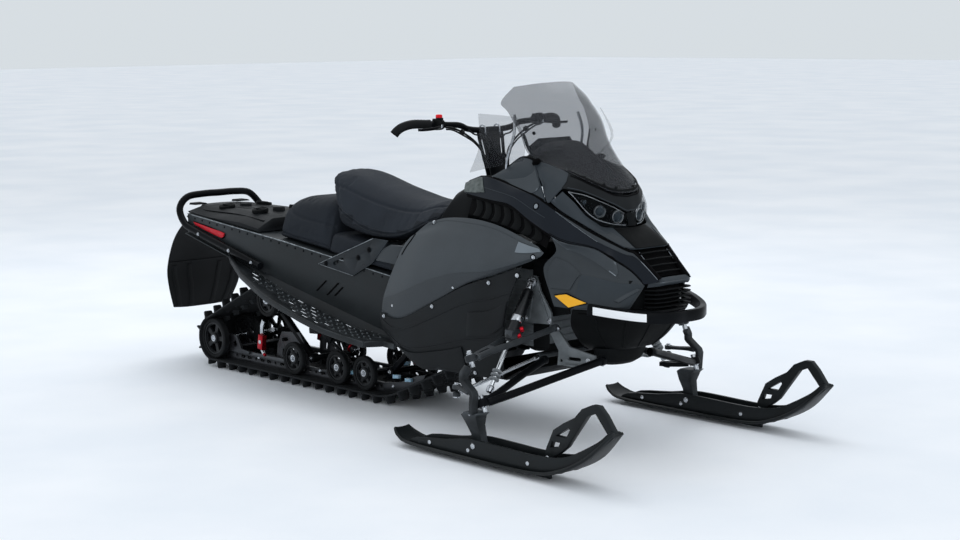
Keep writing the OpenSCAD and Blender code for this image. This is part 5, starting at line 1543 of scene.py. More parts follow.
def pad(name, rings, swell):
    """A stuffed pad from rings: remeshed, blown out by cloth pressure, its swelling capped, and smoothed."""
    obj = link(name, mesh_of(name, Shape().loft(rings)))
    remesh = obj.modifiers.new("Even faces", "REMESH")
    remesh.mode, remesh.voxel_size = "VOXEL", 0.006
    evaluated(obj)
    start = [v.co.copy() for v in obj.data.vertices]
    cloth = obj.modifiers.new("Foam", "CLOTH")
    cloth.settings.use_pressure, cloth.settings.uniform_pressure_force = True, 4
    cloth.settings.effector_weights.gravity = 0
    cloth.point_cache.frame_start, cloth.point_cache.frame_end = 1, 20
    for number in range(1, 21):
        bpy.context.scene.frame_set(number)
    evaluated(obj)
    bpy.context.scene.frame_set(1)
    for vertex, before in zip(obj.data.vertices, start):
        move = vertex.co - before
        if move.length > swell * MM:
            vertex.co = before + move.normalized() * swell * MM
    rounding = obj.modifiers.new("Rounding", "SUBSURF")
    rounding.levels = rounding.render_levels = 1
    return evaluated(obj)


def on_skin(mesh, line, lift):
    """A line pulled onto a mesh, with its outward normals. Both are in millimetres."""
    tree = BVHTree.FromPolygons([v.co for v in mesh.vertices], [p.vertices for p in mesh.polygons])
    points, normals = [], []
    for p in line:
        place, normal, _, _ = tree.find_nearest(Vector(p) * MM)
        points.append(list(place / MM + normal * lift))
        normals.append(list(normal))
    return points, normals


class SNOWMOBILE_OT_seats(Builder, bpy.types.Operator):
    """Driver's and passenger's pads with pressed creases, skirts, piping and stitching"""
    bl_idname = "snowmobile.seats"
    bl_label = "Seats"

    def build(self, finish):
        front = [(-284, -414, 692, 872, 152, 98), (-288, -420, 680, 884, 172, 112),
                 (-262, -366, 670, 885, 182, 118),
                 (-195, -272, 658, 866, 192, 120), (-110, -145, 647, 833, 200, 120),
                 (-15, -22, 643, 808, 203, 114),
                 (70, 68, 654, 792, 204, 108), (150, 152, 683, 788, 202, 104), (232, 236, 720, 802, 196, 102),
                 (282, 284, 746, 805, 168, 90)]
        rear = [(-664, -706, 612, 692, 160, 84), (-674, -723, 603, 714, 186, 104),
                (-640, -688, 600, 740, 196, 116),
                (-560, -612, 591, 765, 199, 122), (-470, -505, 581, 773, 200, 126),
                (-385, -410, 572, 777, 200, 124),
                (-334, -370, 566, 769, 199, 115)]
        lines = {"driver": [
            [[-376, 112, 832], [-290, 132, 820], [-180, 144, 800], [-60, 146, 780], [60, 140, 766],
             [170, 130, 770], [270, 102, 790]],
            [[-330, 150, 752], [-260, 180, 728], [-150, 192, 694], [-60, 198, 680], [20, 203, 678],
             [110, 203, 692], [200, 197, 732], [268, 174, 766]],
            [[-412, -100, 868], [-404, -40, 880], [-404, 40, 880], [-412, 100, 868]]],
                 "passenger": [
            [[-712, 60, 706], [-640, 120, 700], [-560, 152, 690], [-470, 162, 684], [-380, 160, 676],
             [-344, 150, 672]],
            [[-560, -112, 760], [-562, -40, 768], [-562, 40, 768], [-560, 112, 760]],
            [[-690, 168, 632], [-600, 192, 618], [-480, 198, 604], [-350, 198, 592]]]}
        stitches = []
        for name, rings, node in (("driver", front, "driver_seat"), ("passenger", rear, "passenger_seat")):
            cushion = pad(f"{name}_pad", [lean_ring(*smooth_ring) for smooth_ring in smooth(rings, 2)], 5)
            mesh = cushion.data
            for number, line in enumerate(lines[name]):
                middle = abs(line[0][1] + line[-1][1]) < 1
                for side in ((1,) if middle else (1, -1)):
                    spots = on_skin(mesh, smooth([[p[0], side * p[1], p[2]] for p in line], 8), 0)[0]
                    groove(mesh, spots[::4] + spots[-1:], 5.0 if number else 7.0, 4.5 if number != 1 else 5.5)
                    if number == 1:
                        for shift in (-7, 7):
                            shifted = [[p[0], p[1], p[2] + shift] for p in spots]
                            points, normals = on_skin(mesh, shifted, 0.4)
                            long = sum((Vector(b) - Vector(a)).length for a, b in zip(points, points[1:]))
                            stitches.append((points, normals, max(2, int(long * MM / look().stitch_pitch)),
                                             False))
            # faces below the skirt line take the darker vinyl as painted shade
            skirt = lines[name][1] if name == "driver" else lines[name][2]
            for polygon in mesh.polygons:
                x, z = polygon.center.x / MM, polygon.center.z / MM
                low = min(skirt, key=lambda p: abs(p[0] - x))[2] - 2
                polygon.material_index = 1 if z < low else 0
            top, shade = ("vinyl", "vinyl_painted_shade") if name == "driver" else ("vinyl_rear", "vinyl_painted_shade")
            mesh.materials.append(finish[top])
            mesh.materials.append(finish[shade])
            settle(cushion, "chassis", (node,), 60)
        thread = Shape().tube([[-2.1, 0, 0], [-1.3, 0, 0.7], [1.3, 0, 0.7], [2.1, 0, 0]], 0.9, 0, sides=6)
        row_of("seat_stitches", stitches, thread, finish["thread"], "chassis")


class SNOWMOBILE_OT_console(Builder, bpy.types.Operator):
    """Fuel tank cover with its side inserts and cap, and the plates that carry the seat"""
    bl_idname = "snowmobile.console"
    bl_label = "Console and Seat Brackets"

    def build(self, finish):
        knots = [(-322, 566, 650, 200, 176), (-200, 553, 642, 204, 190), (-80, 540, 630, 204, 198),
                 (56, 524, 630, 204, 200),
                 (112, 524, 646, 226, 210), (160, 530, 672, 232, 212), (262, 520, 706, 236, 214),
                 (300, 515, 732, 236, 204),
                 (334, 505, 850, 234, 130), (420, 490, 880, 226, 100)]
        sections = [rounded_ring(*k, power=6, sides=56) for k in smooth(knots, 3)]
        cover = Shape().loft(sections[:10], 3).loft(sections[9:], 0)
        # the side inserts take the darker grey of painted shade
        for side in (1, -1):
            insert = [[-30, 566], [150, 560], [150, 640], [60, 636], [0, 612]]
            rows = []
            for z, grow in ((0, 0), (6, -3)):
                rows.append([[p[0] + (grow if p[0] > 60 else -grow), side * (203 + (p[0] > 100) * 12 + z),
                              p[1] + (grow if p[1] > 600 else -grow)]
                             for p in insert])
            cover.loft(rows, 1)
        # the fuel cap takes the darker grey of painted shade
        cover.spin([(-4, 34), (6, 36), (14, 35), (17, 30), (18, 8)], [352, 0, 866], (-0.35, 0, 1), 1, 32)
        piece("console_cover", cover, "chassis", "console side_dark gap vinyl_rear",
              ("tank_cover",))
        plates = Shape()
        outline = [[-378, 524], [-34, 652], [52, 650], [-46, 554], [-162, 497]]
        plates.side_plate(outline, 209.5, 5, 0, [circle(-128, 570, 5), circle(-62, 606, 5),
                                                 slot_hole(-250, 544, 70, 16, 20)])
        plates.tube([[-378, 212.5, 524], [-206, 212.5, 588], [-34, 212.5, 652]], 3.2, 1, sides=8)
        plates.tube([[-378, 212.5, 524], [-162, 212.5, 497]], 2.4, 1, sides=8)
        for x, z in ((-128, 570), (-62, 606), (-330, 530)):
            plates.spin([(0, 11), (1.6, 11), (2, 10)], [x, 212, z], (0, 1, 0), 2, 24)
            plates.bolt([x, 213, z], (0, 1, 0), look().bolt_size / MM, 2)
        plates.mirrored()
        piece("seat_bracket_plates", plates, "chassis", "bracket rubbed tube",
              ("seat_brackets",))


TUNNEL_TOP = [[-1300, 661], [-965, 629], [-607, 595], [-308, 560], [62, 517], [440, 470]]
FOOT_LINE = [[440, 262], [300, 262], [180, 270], [0, 284], [-150, 298], [-320, 333], [-474, 365], [-613, 398],
             [-770, 442],
             [-940, 490], [-1300, 575]]


def foot_z(x):
    """Height of the tunnel's lower edge at x."""
    for a, b in zip(FOOT_LINE, FOOT_LINE[1:]):
        if x >= b[0]:
            return a[1] + (b[1] - a[1]) * (x - a[0]) / (b[0] - a[0])
    return FOOT_LINE[-1][1]


class SNOWMOBILE_OT_tunnel(Builder, bpy.types.Operator):
    """Folded tunnel with a bright top edge, pressed slashes in painted shade and rows of rivets"""
    bl_idname = "snowmobile.tunnel"
    bl_label = "Tunnel"

    def build(self, finish):
        shell = Shape()
        outline = TUNNEL_TOP + FOOT_LINE
        slots = [slot_hole(x, z, 46, 12, 12) for x, z in ((330, 400), (250, 330))]
        shell.side_plate(outline, 204, 4, 0, slots)
        shell.tube([[p[0], 206.4, p[1] - 2] for p in TUNNEL_TOP], 4.4, 1, sides=10)
        # the pressed slashes are near-black: painted shade in the slits
        for k, x in enumerate((-372, -300, -262)):
            z = 438 - 0.02 * k
            long = (62, 74, 52)[k]
            shell.loft([[[x - long / 2, 205, z - 26 * long / 70 - k * 6],
                         [x - long / 2 + 8, 205, z - 28 * long / 70 - k * 6],
                         [x - long / 2 + 8, 208.6, z - 28 * long / 70 - k * 6],
                         [x - long / 2, 208.6, z - 26 * long / 70 - k * 6]],
                        [[x + long / 2, 205, z + 26 * long / 70 - k * 6],
                         [x + long / 2 + 8, 205, z + 24 * long / 70 - k * 6],
                         [x + long / 2 + 8, 208.6, z + 24 * long / 70 - k * 6],
                         [x + long / 2, 208.6, z + 26 * long / 70 - k * 6]]], 2)
        flange = [[p[0], 214, p[1] + 1] for p in FOOT_LINE[2:]]
        shell.tube(flange, 16, 0, flat=0.25, square=True)
        shell.mirrored()
        shell.side_plate(TUNNEL_TOP + [[p[0], p[1] - 4] for p in TUNNEL_TOP[::-1]], 0, 408, 0)
        for y in (-120, -60, 60, 120):
            shell.tube([[p[0], y, p[1] + 0.4] for p in TUNNEL_TOP[:5]], 10, 0, flat=0.3, sides=8)
        piece("tunnel_shell", shell, "chassis", "sheet rubbed gap", ("tunnel",))
        rivet = Shape().spin([(-1, 5), (0.6, 5), (1.8, 3.8), (2.4, 1.4)], (0, 0, 0), (0, 0, 1), 0, 14)
        rows = []
        for side in (1, -1):
            top = [[p[0], side * 206, p[1] - 14] for p in TUNNEL_TOP[:5]]
            foot = [[p[0], side * 206, p[1] + 16] for p in FOOT_LINE[2:]]
            rows += [(top, [[0, side, 0]] * len(top), 26, False),
                     (foot, [[0, side, 0]] * len(foot), 30, False)]
        row_of("tunnel_rivets", rows, rivet, finish["tube"], "chassis")


class SNOWMOBILE_OT_running_boards(Builder, bpy.types.Operator):
    """Open running boards: slotted tread with upturned teeth and a deep outer rail"""
    bl_idname = "snowmobile.running_boards"
    bl_label = "Running Boards"

    def build(self, finish):
        plan = [[170, 207], [-1000, 207], [-940, 240], [-790, 300], [-560, 348], [-300, 368], [80, 368],
                [110, 288], [170, 282]]
        board = Shape()

        def reach(x):
            edge = plan[1:7]
            for a, b in zip(edge, edge[1:]):
                if x <= b[0]:
                    return a[1] + (b[1] - a[1]) * (x - a[0]) / (b[0] - a[0])
            return plan[6][1]

        holes, teeth, x = [], [], -860
        while x < 20:
            for k, y in enumerate(range(228, int(reach(x - 50)) - 26, 24)):
                at = x + (38 if k % 2 else 0)
                if at < 40:
                    holes.append(slot_hole(at, y, 44, 9, sides=4))
                    teeth += [(at - 20, y - 9.5), (at + 20, y - 9.5)]
            x += 76
        board.plate(plan, 4, lambda a, b, c: [a, b, foot_z(a) - 2 + c], 0, holes)
        rail = [[a, b, foot_z(a) - 3] for a, b in plan[1:7]]
        rail = [p for a, b in zip(rail, rail[1:]) for p in (a, lerp(a, b, 0.34),
                                                            lerp(a, b, 0.67))] + [rail[-1]]
        rail = [[p[0], p[1] - 7, foot_z(p[0]) - 3] for p in rail]
        board.tube(rail, 15, 0, flat=1.5, square=True)
        board.tube([[p[0] + 4, p[1] + 4, p[2] + 6] for p in rail], 5, 0, flat=1.0, sides=8)
        board.tube([[80, 360, foot_z(80) - 3], [108, 288, foot_z(108) - 3], [168, 282, foot_z(168) - 3]], 14,
                   0, flat=1.5, square=True)
        for x in (-560, -300, -60):
            board.loft([[[x, 206, foot_z(x) - 4], [x + 8, 206, foot_z(x) - 4], [x + 8, 206, foot_z(x) - 26],
                         [x, 206, foot_z(x) - 26]],
                        [[x, reach(x) - 18, foot_z(x) - 4], [x + 8, reach(x) - 18, foot_z(x) - 4],
                         [x + 8, reach(x) - 18, foot_z(x) - 9], [x, reach(x) - 18, foot_z(x) - 9]]], 0)
        board.mirrored()
        piece("running_board_pair", board, "chassis", "board", ("running_boards",), bevel=0.6)
        tooth = Shape().loft([[[-5, -1.2, 0], [5, -1.2, 0], [5, 1.2, 0], [-5, 1.2, 0]],
                              [[-2, -0.8, 5], [2, -0.8, 5], [2, 0.8, 5], [-2, 0.8, 5]]])
        rows = []
        for y in sorted({t[1] for t in teeth}):
            xs = sorted(t[0] for t in teeth if t[1] == y)
            if len(xs) < 3:
                continue
            for side in (1, -1):
                line = [[q, side * y, foot_z(q) - 0.2] for q in [xs[0] + (xs[-1] - xs[0]) * k / 12
                                                                 for k in range(13)]]
                rows.append((line, [[0, 0, 1]] * 13, len(xs), False))
        row_of("board_teeth", rows, tooth, finish["board"], "chassis")


class SNOWMOBILE_OT_tail(Builder, bpy.types.Operator):
    """Rear deck with its anchor sockets and vents, bumper, tail lights and snow flap"""
    bl_idname = "snowmobile.tail"
    bl_label = "Tail"

    def build(self, finish):
        deck = Shape()
        sections = []
        for x, wide, top, low in ((-1388, 118, 676, 634), (-1376, 124, 687, 634), (-1313, 196, 686.8, 666),
                                  (-1160, 198, 686, 651),
                                  (-930, 198, 685, 630), (-800, 198, 668, 618), (-792, 196, 640, 617)):
            shoulder = min(wide * 0.62, 122)
            sections.append([[x, -wide, low], [x, -wide, max(low + 2, top - 38)], [x, -shoulder, top],
                             [x, -shoulder * 0.4, top + 1.5],
                             [x, shoulder * 0.4, top + 1.5], [x, shoulder, top],
                             [x, wide, max(low + 2, top - 38)], [x, wide, low]])
        deck.loft(sections, 0)
        for x in (-1160, -920):
            deck.spin([(-12, 19.2), (-12, 26), (12, 26), (14, 25), (15, 22), (14.6, 19.2)], [x, 0, 686],
                      (0, 0, 1), 0, 36)
            # the socket's floor in near-black is painted shade in the recess
            deck.spin([(-14, 19), (-4, 18.8), (-3, 4)], [x, 0, 686], (0, 0, 1), 2, 30)
            for y in (-96, 96):
                deck.spin([(-4, 34), (6, 35), (12, 34), (14, 30), (9, 24), (8, 20)], [x, y, 688 - 2],
                          (0, 0.02 * y, 12), 1, 32)
                deck.box([x - 26, y - 4, 694], [x + 26, y + 4, 701], 1)
        for y in (-150, -60, -30, 30, 60, 150):
            drop = 12 if abs(y) > 122 else 0
            deck.tube(smooth([[-1340, y * 0.8, 686 - drop * 0.7], [-1240, y, 687 - drop],
                              [-1000, y, 686 - drop], [-820, y, 671 - drop]], 4),
                      9, 0, flat=0.5, sides=8)
        for y in (-112, 112):
            deck.loft([[[-1384, y - 30, 688], [-1384, y + 30, 688], [-1384, y + 26, 697],
                        [-1384, y - 26, 697]],
                       [[-1330, y - 34, 690], [-1330, y + 34, 690], [-1336, y + 26, 696],
                        [-1336, y - 26, 696]]], 1)
        piece("tail_deck_cover", deck, "chassis", "console low gap", ("tail_deck",))

        half = [[-755, 222, 482], [-960, 222, 530], [-1230, 222, 594], [-1306, 221, 622], [-1356, 209, 678],
                [-1366, 162, 724],
                [-1360, 80, 734], [-1358, 0, 734]]
        bar = Shape().tube(smooth(half + [[p[0], -p[1], p[2]] for p in half[-2::-1]], 5), 30, 0, sides=22,
                           up=(0.3, 0, 1))
        for side in (1, -1):
            for x, z in ((-800, 493), (-960, 530), (-1180, 582)):
                bar.spin([(6, 12), (16, 12), (17, 10)], [x, side * 220, z], (0, side, 0), 1, 22)
                bar.bolt([x, side * 236, z], (0, side, 0), 11, 2)
        piece("rear_bumper_tube", bar, "chassis", "tube low zinc", ("rear_bumper",), bevel=0)

        lamp = Shape()
        outline = [[-1250, 628], [-1140, 613], [-1034, 598.5], [-1022, 593], [-1030, 579], [-1045, 574],
                   [-1110, 587], [-1238, 616]]
        lamp.side_plate(outline, 210, 6, 0)
        # a near-black rim round the lens, a little larger than it, is painted shade
        lamp.side_plate([[p[0] + (4 if p[0] > -1150 else -4), p[1] + (3 if p[1] > 600 else -3)]
                         for p in outline], 207.8, 3, 1)
        lamp.mirrored()
        piece("tail_light_wedges", lamp, "chassis", "red_lens gap", ("tail_lights",))

        flap_half = [[[-1528, 0, 215], [-1526, 80, 216], [-1520, 150, 222]],
                     [[-1506, 0, 305], [-1505, 100, 306], [-1498, 184, 310]],
                     [[-1496, 0, 395], [-1495, 120, 395], [-1488, 198, 396]],
                     [[-1462, 0, 490], [-1461, 120, 490], [-1452, 200, 490]],
                     [[-1412, 0, 560], [-1411, 120, 560], [-1406, 200, 560]],
                     [[-1336, 0, 622], [-1336, 120, 622], [-1336, 200, 621]]]
        net = smooth_net(both_halves(flap_half), 6)
        flap = Shape().wall(net, 5, 0)
        back = [[list(Vector(p) - net_at(net, i / (len(net) - 1), j / (len(row) - 1))[1] * 5) for j,
                 p in enumerate(row)] for i, row in enumerate(net)]
        back = [row[::-1] for row in back]
        for v in (0.14, 0.34, 0.66, 0.86):
            seam(flap, back, [[0.02, v], [0.2, v], [0.44, v]], 24, 0, lift=1.4, depth=4)
            seam(flap, net, [[0.02, v], [0.2, v], [0.44, v]], 20, 0, lift=0.6, depth=2)
        for grid in (net, back):
            seam(flap, grid, [[0.47, 0.02], [0.47, 0.25], [0.47, 0.5], [0.47, 0.75], [0.47, 0.98]], 8, 0,
                 lift=1.0, depth=3)
            seam(flap, grid, [[0.02, 0.03], [0.02, 0.5], [0.02, 0.97]], 8, 0, lift=0.6, depth=3)
        piece("snow_flap_sheet", flap, "chassis", "flap", ("snow_flap",))


# ---------- track and rear suspension ----------
IDLER_Z = 39 + 87.5
LOOP = [[-1172, IDLER_Z, 87.5], [-70, 339, 300], [300, 265, 82], [-795, 328, 68]]


def loop_outline(grow, step=6):
    """The belt's outline in X and Z round its wheels, grown outwards."""
    def normal(a, b):
        reach = math.hypot(b[0] - a[0], b[1] - a[1])
        return math.atan2(b[1] - a[1], b[0] - a[0]) - math.acos((a[2] - b[2]) / reach)

    line = []
    for i, here in enumerate(LOOP):
        before, after = LOOP[i - 1], LOOP[(i + 1) % len(LOOP)]
        first = normal(before, here)
        turn = (normal(here, after) - first) % math.tau
        count = max(1, math.ceil(math.degrees(turn) / step))
        line += [[here[0] + (here[2] + grow) * math.cos(first + turn * k / count),
                  here[1] + (here[2] + grow) * math.sin(first + turn * k / count)] for k in range(count + 1)]
    return line


class SNOWMOBILE_OT_track(Builder, bpy.types.Operator):
    """Rubber belt with edge beads, drive cogs inside and rows of cupped lugs outside"""
    bl_idname = "snowmobile.track"
    bl_label = "Track"

    def build(self, finish):
        outer, inner = loop_outline(7, 3), loop_outline(0.4, 3)
        section = [(-190.5, 0.25), (-189, 1), (-150, 1), (-146, 0.72), (-110, 0.72), (-106, 1), (106, 1),
                   (110, 0.72), (146, 0.72),
                   (150, 1), (189, 1), (190.5, 0.25), (189, 0), (-189, 0)]
        rings = [[[a[0] + (b[0] - a[0]) * s, y, a[1] + (b[1] - a[1]) * s] for y, s in section] for a,
                 b in zip(inner, outer)]
        belt = Shape().loft(rings, 0, closed=True)
        piece("track_belt", belt, "chassis", "rubber", ("track",), bevel=0)
        lug = Shape()
        for y in (-166, -100, -34, 34, 100, 166):
            wide, tall, lean = (24, 31, 0) if abs(y) != 100 else (26, 27, 3)
            profile = [(0, 1.0, 9), (8, 0.92, 7), (tall - 6, 0.84, 5.4), (tall - 1, 0.74, 4.4),
                       (tall, 0.5, 2.6)]
            lug.loft([[[lean + d * 0.9 * sx, y + wide * w * sy, z - 1] for sx, sy in
                       ((1, 0.7), (1, -0.7), (0.4, -1), (-0.4, -1), (-0.8, -0.7), (-0.5, 0), (-0.8, 0.7),
                        (-0.4, 1), (0.4, 1))]
                      for z, w, d in profile], 0)
        lug.box([-7, -186, -1], [7, 186, 3.5], 0)
        path = [[p[0], 0, p[1]] for p in outer]
        facing = []
        for k, p in enumerate(path):
            way = Vector(path[(k + 1) % len(path)]) - Vector(path[k - 1])
            facing.append([way.z, 0, -way.x])
        facing = [list(Vector(f).normalized()) for f in facing]
        row_of("track_lugs", [(path, facing, look().lug_rows, True)], lug, finish["rubber"], "chassis",
               angle=40)
        cog = Shape()
        for y in (-80, 80):
            cog.loft([[[-11, y - 14, 0], [11, y - 14, 0], [11, y + 14, 0], [-11, y + 14, 0]],
                      [[-6, y - 9, 18], [6, y - 9, 18], [6, y + 9, 18], [-6, y + 9, 18]]], 0)
        for y in (-52, 52, -118, 118):
            cog.box([-5, y - 5, 0], [5, y + 5, 2.6], 0)
        inside = [[p[0], 0, p[1]] for p in loop_outline(0.6, 3)]
        row_of("track_cogs", [(inside, [[-c for c in f] for f in facing], look().lug_rows, True)], cog,
               finish["rubber"],
               "chassis", angle=40)


def wheel(shape, at, size, width, spokes, core=0, tyre=1, ring=None):
    """A moulded wheel with a rubber rim, spokes and a bearing, its axle along Y."""
    r, w = size / 2, width / 2
    for inner, outer, half, finish in ((r - 15, r, w, tyre), (r - 23, r - 14, w * 0.8, core),
                                       (14, 24, w, core), (8, 16, w + 1, ring or core)):
        ease = min(3, (outer - inner) / 3)
        shape.spin([(-half, inner), (-half, outer - ease), (-half + ease, outer), (half - ease, outer),
                    (half, outer - ease),
                    (half, inner)], at, (0, 1, 0), finish, 48, hollow=True)
    windows = []
    for k in range(spokes):
        middle, half = math.tau * (k + 0.5) / spokes, math.pi / spokes * 0.72
        far, near = r - 26, 27
        windows.append([[at[0] + far * math.cos(middle + half * t), at[2] + far * math.sin(middle + half * t)]
                        for t in (-1, -0.5, 0, 0.5, 1)]
                       + [[at[0] + near * math.cos(middle + half * t * 0.7),
                           at[2] + near * math.sin(middle + half * t * 0.7)] for t in (1, 0, -1)])
    shape.side_plate(circle(at[0], at[2], r - 18, 48), at[1], width * 0.34, core,
                     windows + [circle(at[0], at[2], 12)])
    for k in range(spokes):
        a = math.tau * k / spokes
        shape.tube([[at[0] + q * math.cos(a), at[1], at[2] + q * math.sin(a)]
                    for q in (18, (r - 4) / 2, r - 19)], [width * 0.55, width * 0.42, width * 0.55],
                   core, sides=8, flat=0.5, up=(0, 1, 0))
    return shape


class SNOWMOBILE_OT_rear_suspension(Builder, bpy.types.Operator):
    """Slide rails, wheels, arms, dampers with springs, and the drive shaft"""
    bl_idname = "snowmobile.rear_suspension"
    bl_label = "Rear Suspension"

    def build(self, finish):
        rails = Shape()
        profile = [[-1150, 50], [-1130, 41], [-70, 41], [60, 70], [150, 110], [170, 140], [120, 130],
                   [20, 92], [-80, 78], [-1100, 78], [-1150, 110]]
        windows = []
        for k, x in enumerate(range(-1060, -80, 46)):
            windows.append(slot_hole(x, 62, 30, 12, 0, 4) if k % 3 else circle(x, 62, 6.5, 14))
        rails.side_plate(profile, 130, 11, 0, windows)
        rails.side_plate([[-1120, 74], [-640, 74], [-650, 88], [-1118, 88]], 130, 16, 0)
        # rear plate under the axle and the upright by the coupler
        rails.side_plate([[-1150, 84], [-1110, 148], [-1046, 150], [-1012, 96], [-960, 90], [-960, 78],
                          [-1150, 78]], 142, 8, 0,
                         [[[-1078, 112], [-1052, 128], [-1044, 108], [-1060, 96]], circle(-1118, 106, 8, 16)])
        rails.side_plate([[-800, 78], [-792, 140], [-762, 196], [-640, 206], [-600, 150], [-585, 78]], 112, 9,
                         0,
                         [slot_hole(-740, 166, 44, 16, 10), slot_hole(-650, 118, 40, 16, -60),
                          circle(-690, 120, 15, 20), slot_hole(-752, 110, 34, 14, 80)])
        rails.tube([[-1130, 130, 38], [-600, 130, 37.6], [-70, 130, 38], [60, 130, 66], [140, 130, 104]], 16,
                   1, flat=0.55, square=True)
        for x in (-900, -480, -240, -20):
            rails.bolt([x, 136, 70 if x < 0 else 82], (0, 1, 0), 10, 2)
        # pale blue blocks stand for shaded snow seen through the gaps: painted shade
        for x, z in ((-262, 92), (6, 112), (78, 108)):
            rails.loft([[[x - 18, 134, z - 8], [x + 18, 134, z - 4], [x + 18, 134, z + 10],
                         [x - 18, 134, z + 8]],
                        [[x - 17, 146, z - 7], [x + 17, 146, z - 3], [x + 17, 146, z + 9],
                         [x - 17, 146, z + 7]]], 3)
        rails.mirrored()
        rails.rod([-1100, -140, 92], [-1100, 140, 92], 16, 0).rod([-330, -130, 66], [-330, 130, 66], 16, 0)
        piece("slide_rail_pair", rails, "chassis", "rail flap zinc acetal", ("slide_rails",),
              bevel=0.6)

        for name, node, wheels, size, width, spokes in (
                ("rear_idlers", "rear_idler_wheels", [(-1172, y, IDLER_Z) for y in (-165, 0, 165)], 172, 28,
                 5),
                ("rail_wheel_set", "rail_wheels", [(x, y, 107.5) for x in (-620, -333, -162)
                                                   for y in (-158, 158)], 135, 22, 6),
                ("upper_idlers", "upper_idler_wheels", [(-795, y, 328) for y in (-158, 158)], 134, 24, 5)):
            shape = Shape()
            for at in wheels:
                wheel(shape, at, size, width, spokes, 0, 1, 2)
            if name != "rail_wheel_set":
                x, z = wheels[0][0], wheels[0][2]
                shape.rod([x, -172, z], [x, 172, z], 20, 2).bolt([x, 173, z], (0, 1, 0), 15,
                                                                 2).bolt([x, -173, z], (0, -1, 0), 15, 2)
            else:
                for at in wheels:
                    out = 1 if at[1] > 0 else -1
                    shape.rod([at[0], out * 136, at[2]], [at[0], out * 171, at[2]], 16,
                              2).bolt([at[0], out * 171, at[2]], (0, out, 0), 12, 2)
                    shape.side_plate([[at[0] - 14, 74], [at[0] + 14, 74], [at[0] + 10, 116],
                                      [at[0] - 10, 116]], out * 140, 8, 0)
            piece(name, shape, "chassis", "nylon rubber zinc", (node,), bevel=0.6)

        drive = Shape()
        drive.rod([300, -198, 265], [300, 198, 265], 36, 1)
        for y in (-95, 95):
            teeth = []
            for k in range(9):
                a = math.tau * k / 9
                for da, rad in ((-0.2, 66), (-0.1, 80), (0.1, 80), (0.2, 66)):
                    teeth.append([300 + rad * math.cos(a + da), 265 + rad * math.sin(a + da)])
            drive.side_plate(teeth, y, 30, 0, [circle(300 + 44 * math.cos(q), 265 + 44 * math.sin(q), 10, 16)
                                               for q in (0.4, 1.66, 2.9, 4.17, 5.4)])
        piece("drive_shaft", drive, "chassis", "nylon zinc", ("drive_sprockets",))

        arms = Shape()
        for a, b in (([-560, 105, 110], [-780, 105, 288]), ([-60, 105, 120], [150, 105, 300])):
            arms.tube([a, lerp(a, b, 0.5), b], 24, 0, flat=1.0, square=True, up=(0, 1, 0))
            for p in (a, b):
                arms.spin([(-16, 17), (-15, 19), (15, 19), (16, 17)], p, (0, 1, 0), 0, 24)
                arms.bolt([p[0], p[1] + 16, p[2]], (0, 1, 0), 13, 1)
        # coupler block in red with its pale link and adjuster tip
        arms.loft([[[-868, 148, 118], [-832, 148, 112], [-826, 148, 176], [-858, 148, 182]],
                   [[-866, 168, 120], [-834, 168, 114], [-828, 168, 174], [-856, 168, 180]]], 2)
        arms.tube([[-852, 152, 180], [-850, 152, 214], [-838, 152, 238]], 20, 3, flat=0.5, square=True,
                  up=(0, 1, 0))
        arms.rod([-846, 158, 116], [-834, 158, 96], 14, 3).rod([-834, 158, 98], [-822, 158, 92], 13, 2)
        arms.spin([(0, 9), (2, 9), (3, 7)], [-846, 168, 148], (0, 1, 0), 1, 20)
        arms.tube([[-420, 118, 196], [-330, 122, 150], [-290, 124, 118]], 13, 0, sides=12)
        arms.tube([[-560, 118, 226], [-470, 118, 232], [-420, 118, 200]], 26, 0, flat=0.7, square=True,
                  up=(0, 1, 0))
        arms.tube([[-300, 138, 92], [-276, 138, 128]], 17, 4, flat=0.7, square=True, up=(0, 1, 0))
        arms.mirrored()
        for x, z in ((-560, 110), (-60, 120), (150, 300), (-780, 288)):
            arms.rod([x, -118, z], [x, 118, z], 22, 0)
        piece("suspension_arm_set", arms, "chassis",
              "tube zinc red_metal zinc rail", ("suspension_arms",), bevel=0.8)

        shocks = Shape()
        for a, b in (((-480, 50, 130), (-700, 50, 300)), ((10, -40, 155), (112, -40, 285))):
            head, heel = Vector(a), Vector(b)
            way, long = (heel - head).normalized(), (heel - head).length
            shocks.spin([(0, 15), (4, 19), (long * 0.55, 19), (long * 0.57, 12), (long * 0.58, 7), (long, 7)],
                        head, way, 0, 28)
            for s in (0.02, 0.97):
                shocks.spin([(-14, 11), (-12, 13), (12, 13), (14, 11)], head + way * long * s, (0, 1, 0), 1,
                            24)
            side = way.orthogonal().normalized()
            top = way.cross(side)
            coil = []
            for k in range(8 * 20 + 1):
                t = k / 160
                coil.append(list(head + way * long * (0.08 + 0.84 * t)
                                 + (side * math.cos(math.tau * 8 * t) + top * math.sin(math.tau * 8 * t))
                                 * 24))
            shocks.tube(coil, 7, 2, sides=8, up=way)
            for s in (0.07, 0.93):
                shocks.spin([(-3, 22), (-2, 27), (3, 27), (4, 22)], head + way * long * s, way, 3, 28)
        piece("rear_dampers", shocks, "chassis", "shock zinc tube red_metal",
              ("rear_shocks",), bevel=0)


class SNOWMOBILE_OT_engine(Builder, bpy.types.Operator):
    """Plain engine block closed inside the body, with cooling ribs and a cover"""
    bl_idname = "snowmobile.engine"
    bl_label = "Engine"

    def build(self, finish):
        block = Shape().box([474, -168, 332], [794, 168, 600], 0)
        block.box([500, -150, 600], [770, 150, 690], 1)
        for k in range(9):
            block.box([472, -172, 350 + 26 * k], [796, 172, 358 + 26 * k], 0)
        for x in (520, 635, 750):
            for y in (-140, 140):
                block.bolt([x, y, 690], (0, 0, 1), 12, 2)
        piece("engine_block", block, "chassis", "cast low zinc", ("engine",), bevel=3)


